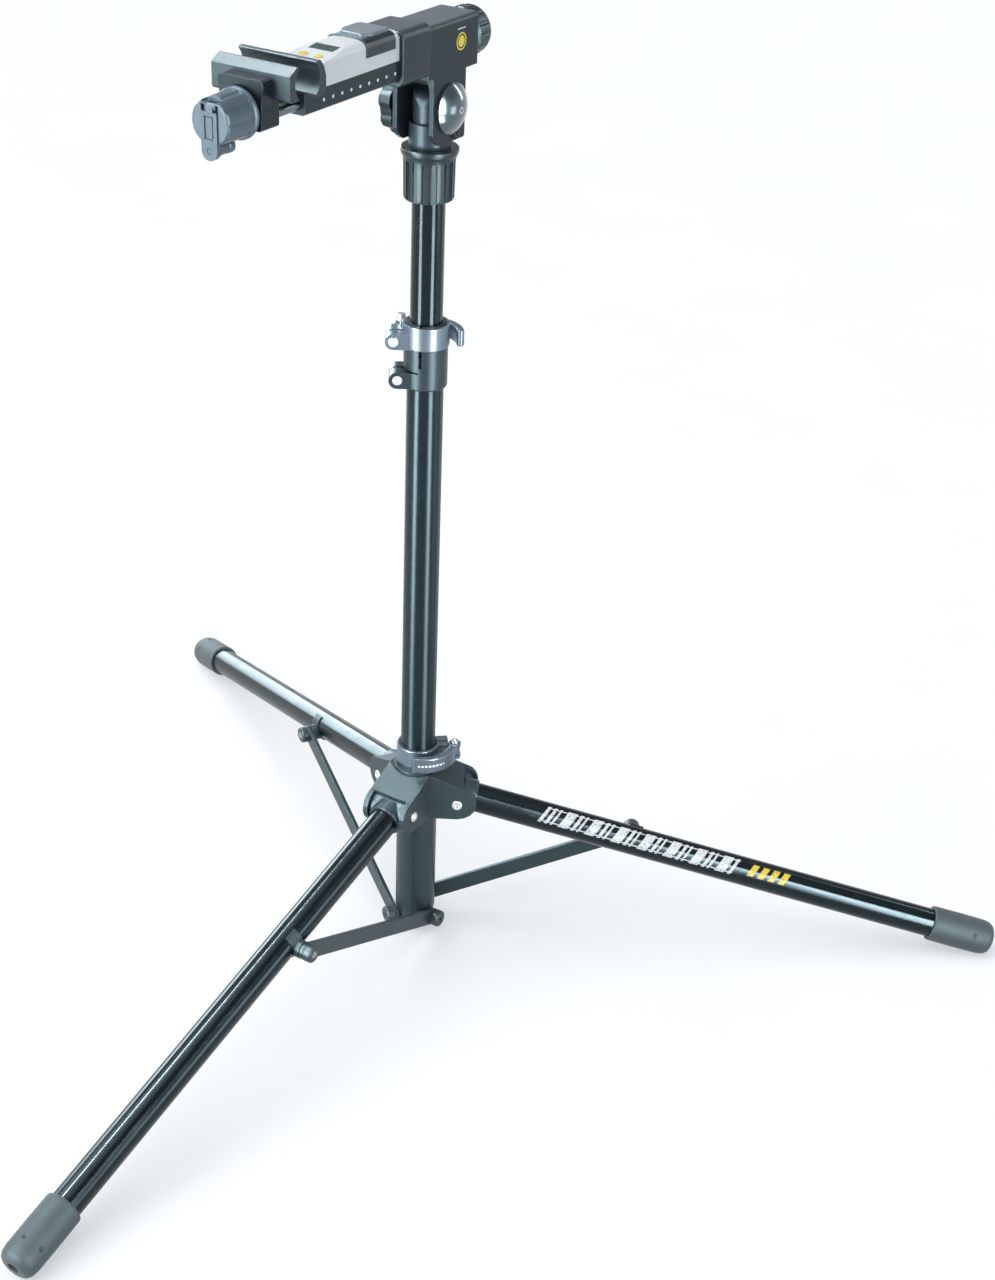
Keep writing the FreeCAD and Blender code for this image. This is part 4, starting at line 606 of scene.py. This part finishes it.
def strip(name, az, dist, z, sx, sy, radiance, tilt=0.0):
    """A tall narrow softbox that only shows as a line on glossy pieces. az is degrees left of the camera, seen from the mast."""
    c = Vector((0.547, -0.837, 0.0))
    left = Vector((-0.837, -0.547, 0.0))
    d = c * cos(radians(az)) + left * sin(radians(az))
    o = area(name, tuple(d * dist + Vector((0, 0, z))), (0, 0, z + tilt), sx, sy, radiance * pi * sx * sy)
    o.visible_diffuse = False
    return o


def floor_strip(name, az, r0, r1, width, radiance):
    """A glossy-only light panel lying on the floor, running out from the mast: it draws a line up each upright tube."""
    d = Vector((0.547, -0.837, 0.0)) * cos(radians(az)) + Vector((-0.837, -0.547, 0.0)) * sin(radians(az))
    mid = d * (r0 + r1) / 2 + Vector((0, 0, 0.004))
    o = area(name, tuple(mid), (mid.x, mid.y, 1.0), width, r1 - r0, radiance * pi * width * (r1 - r0))
    z = Vector((0, 0, -1))
    x = d.cross(z)
    o.rotation_quaternion = Matrix((x, d, z)).transposed().to_quaternion()
    o.visible_diffuse = False
    return o


floor_strip("floor_left", 50, 1.08, 2.3, 0.62, 17.0)
floor_strip("floor_right", -37, 1.08, 2.3, 0.62, 17.0)
area("key", (-2.2, -2.4, 3.2), (0, 0, 0.5), 2.2, 2.2, 42.0)
strip("strip_left", 50, 3.2, 1.1, 1.00, 2.8, 58.0)
strip("strip_mid", -37, 3.2, 1.1, 1.00, 2.8, 48.0)
strip("strip_back", -120, 3.2, 1.9, 0.4, 1.8, 12.0)
over = area("over_left", (-1.5, -0.2, 2.6), (0, 0, 0.3), 0.35, 3.2, 22.0 * pi * 0.35 * 3.2 / 3.0)
over.visible_diffuse = False


def line_light(name, start, step, length, width, radiance):
    """A softbox strip from start along step, glossy only, facing the foot of the mast."""
    mid = Vector(start) + Vector(step) * 0.5 * length
    o = area(name, tuple(mid), (0, 0, 0.2), width, length, radiance * pi * width * length)
    z = (mid - Vector((0, 0, 0.2))).normalized()
    y = Vector(step) - z * Vector(step).dot(z)
    y.normalize()
    x = y.cross(z)
    o.rotation_quaternion = Matrix((x, y, z)).transposed().to_quaternion()
    o.visible_diffuse = False
    return o


# one runs over the first leg, one stands behind the third
line_light("line_first", (-0.92, 0.45, 2.35), (0.0, -1.0, 0.0), 2.4, 0.14, 110.0)
third = area("box_third", (-2.55, 1.25, 0.80), (-0.35, 0.2, 0.1), 2.2, 1.1, 11.0 * pi * 2.2 * 1.1, (0.80, 0.93, 1.0))
third.visible_diffuse = False
# a low box behind on the right greys the right-hand side of the first leg
right_box = area("box_right", (2.60, 0.85, 0.35), (0, -0.3, 0.1), 0.9, 1.0, 6.0 * pi * 0.9 * 1.0, (0.86, 0.95, 1.0))
right_box.visible_diffuse = False

cam_d = bpy.data.cameras.new("camera")
cam = bpy.data.objects.new("camera", cam_d)
sc.collection.objects.link(cam)
h, pt, rl = radians(30.867), radians(29.632), radians(2.316)
fwd = Vector((-sin(h) * cos(pt), cos(h) * cos(pt), -sin(pt)))
right = Vector((cos(h), sin(h), 0))
up = right.cross(fwd)
cx_ = right * cos(rl) + up * sin(rl)
cy_ = -right * sin(rl) + up * cos(rl)
cz_ = -fwd
cam.matrix_world = Matrix((
    (cx_.x, cy_.x, cz_.x, 1.054567),
    (cx_.y, cy_.y, cz_.y, -1.607319),
    (cx_.z, cy_.z, cz_.z, 1.461494),
    (0, 0, 0, 1)))
cam_d.lens = 59.743
cam_d.sensor_width = 36.0
cam_d.clip_start, cam_d.clip_end = 0.05, 100.0
sc.camera = cam

sc.view_settings.view_transform = "Standard"
sc.view_settings.look = "None"
sc.view_settings.exposure = 0.0
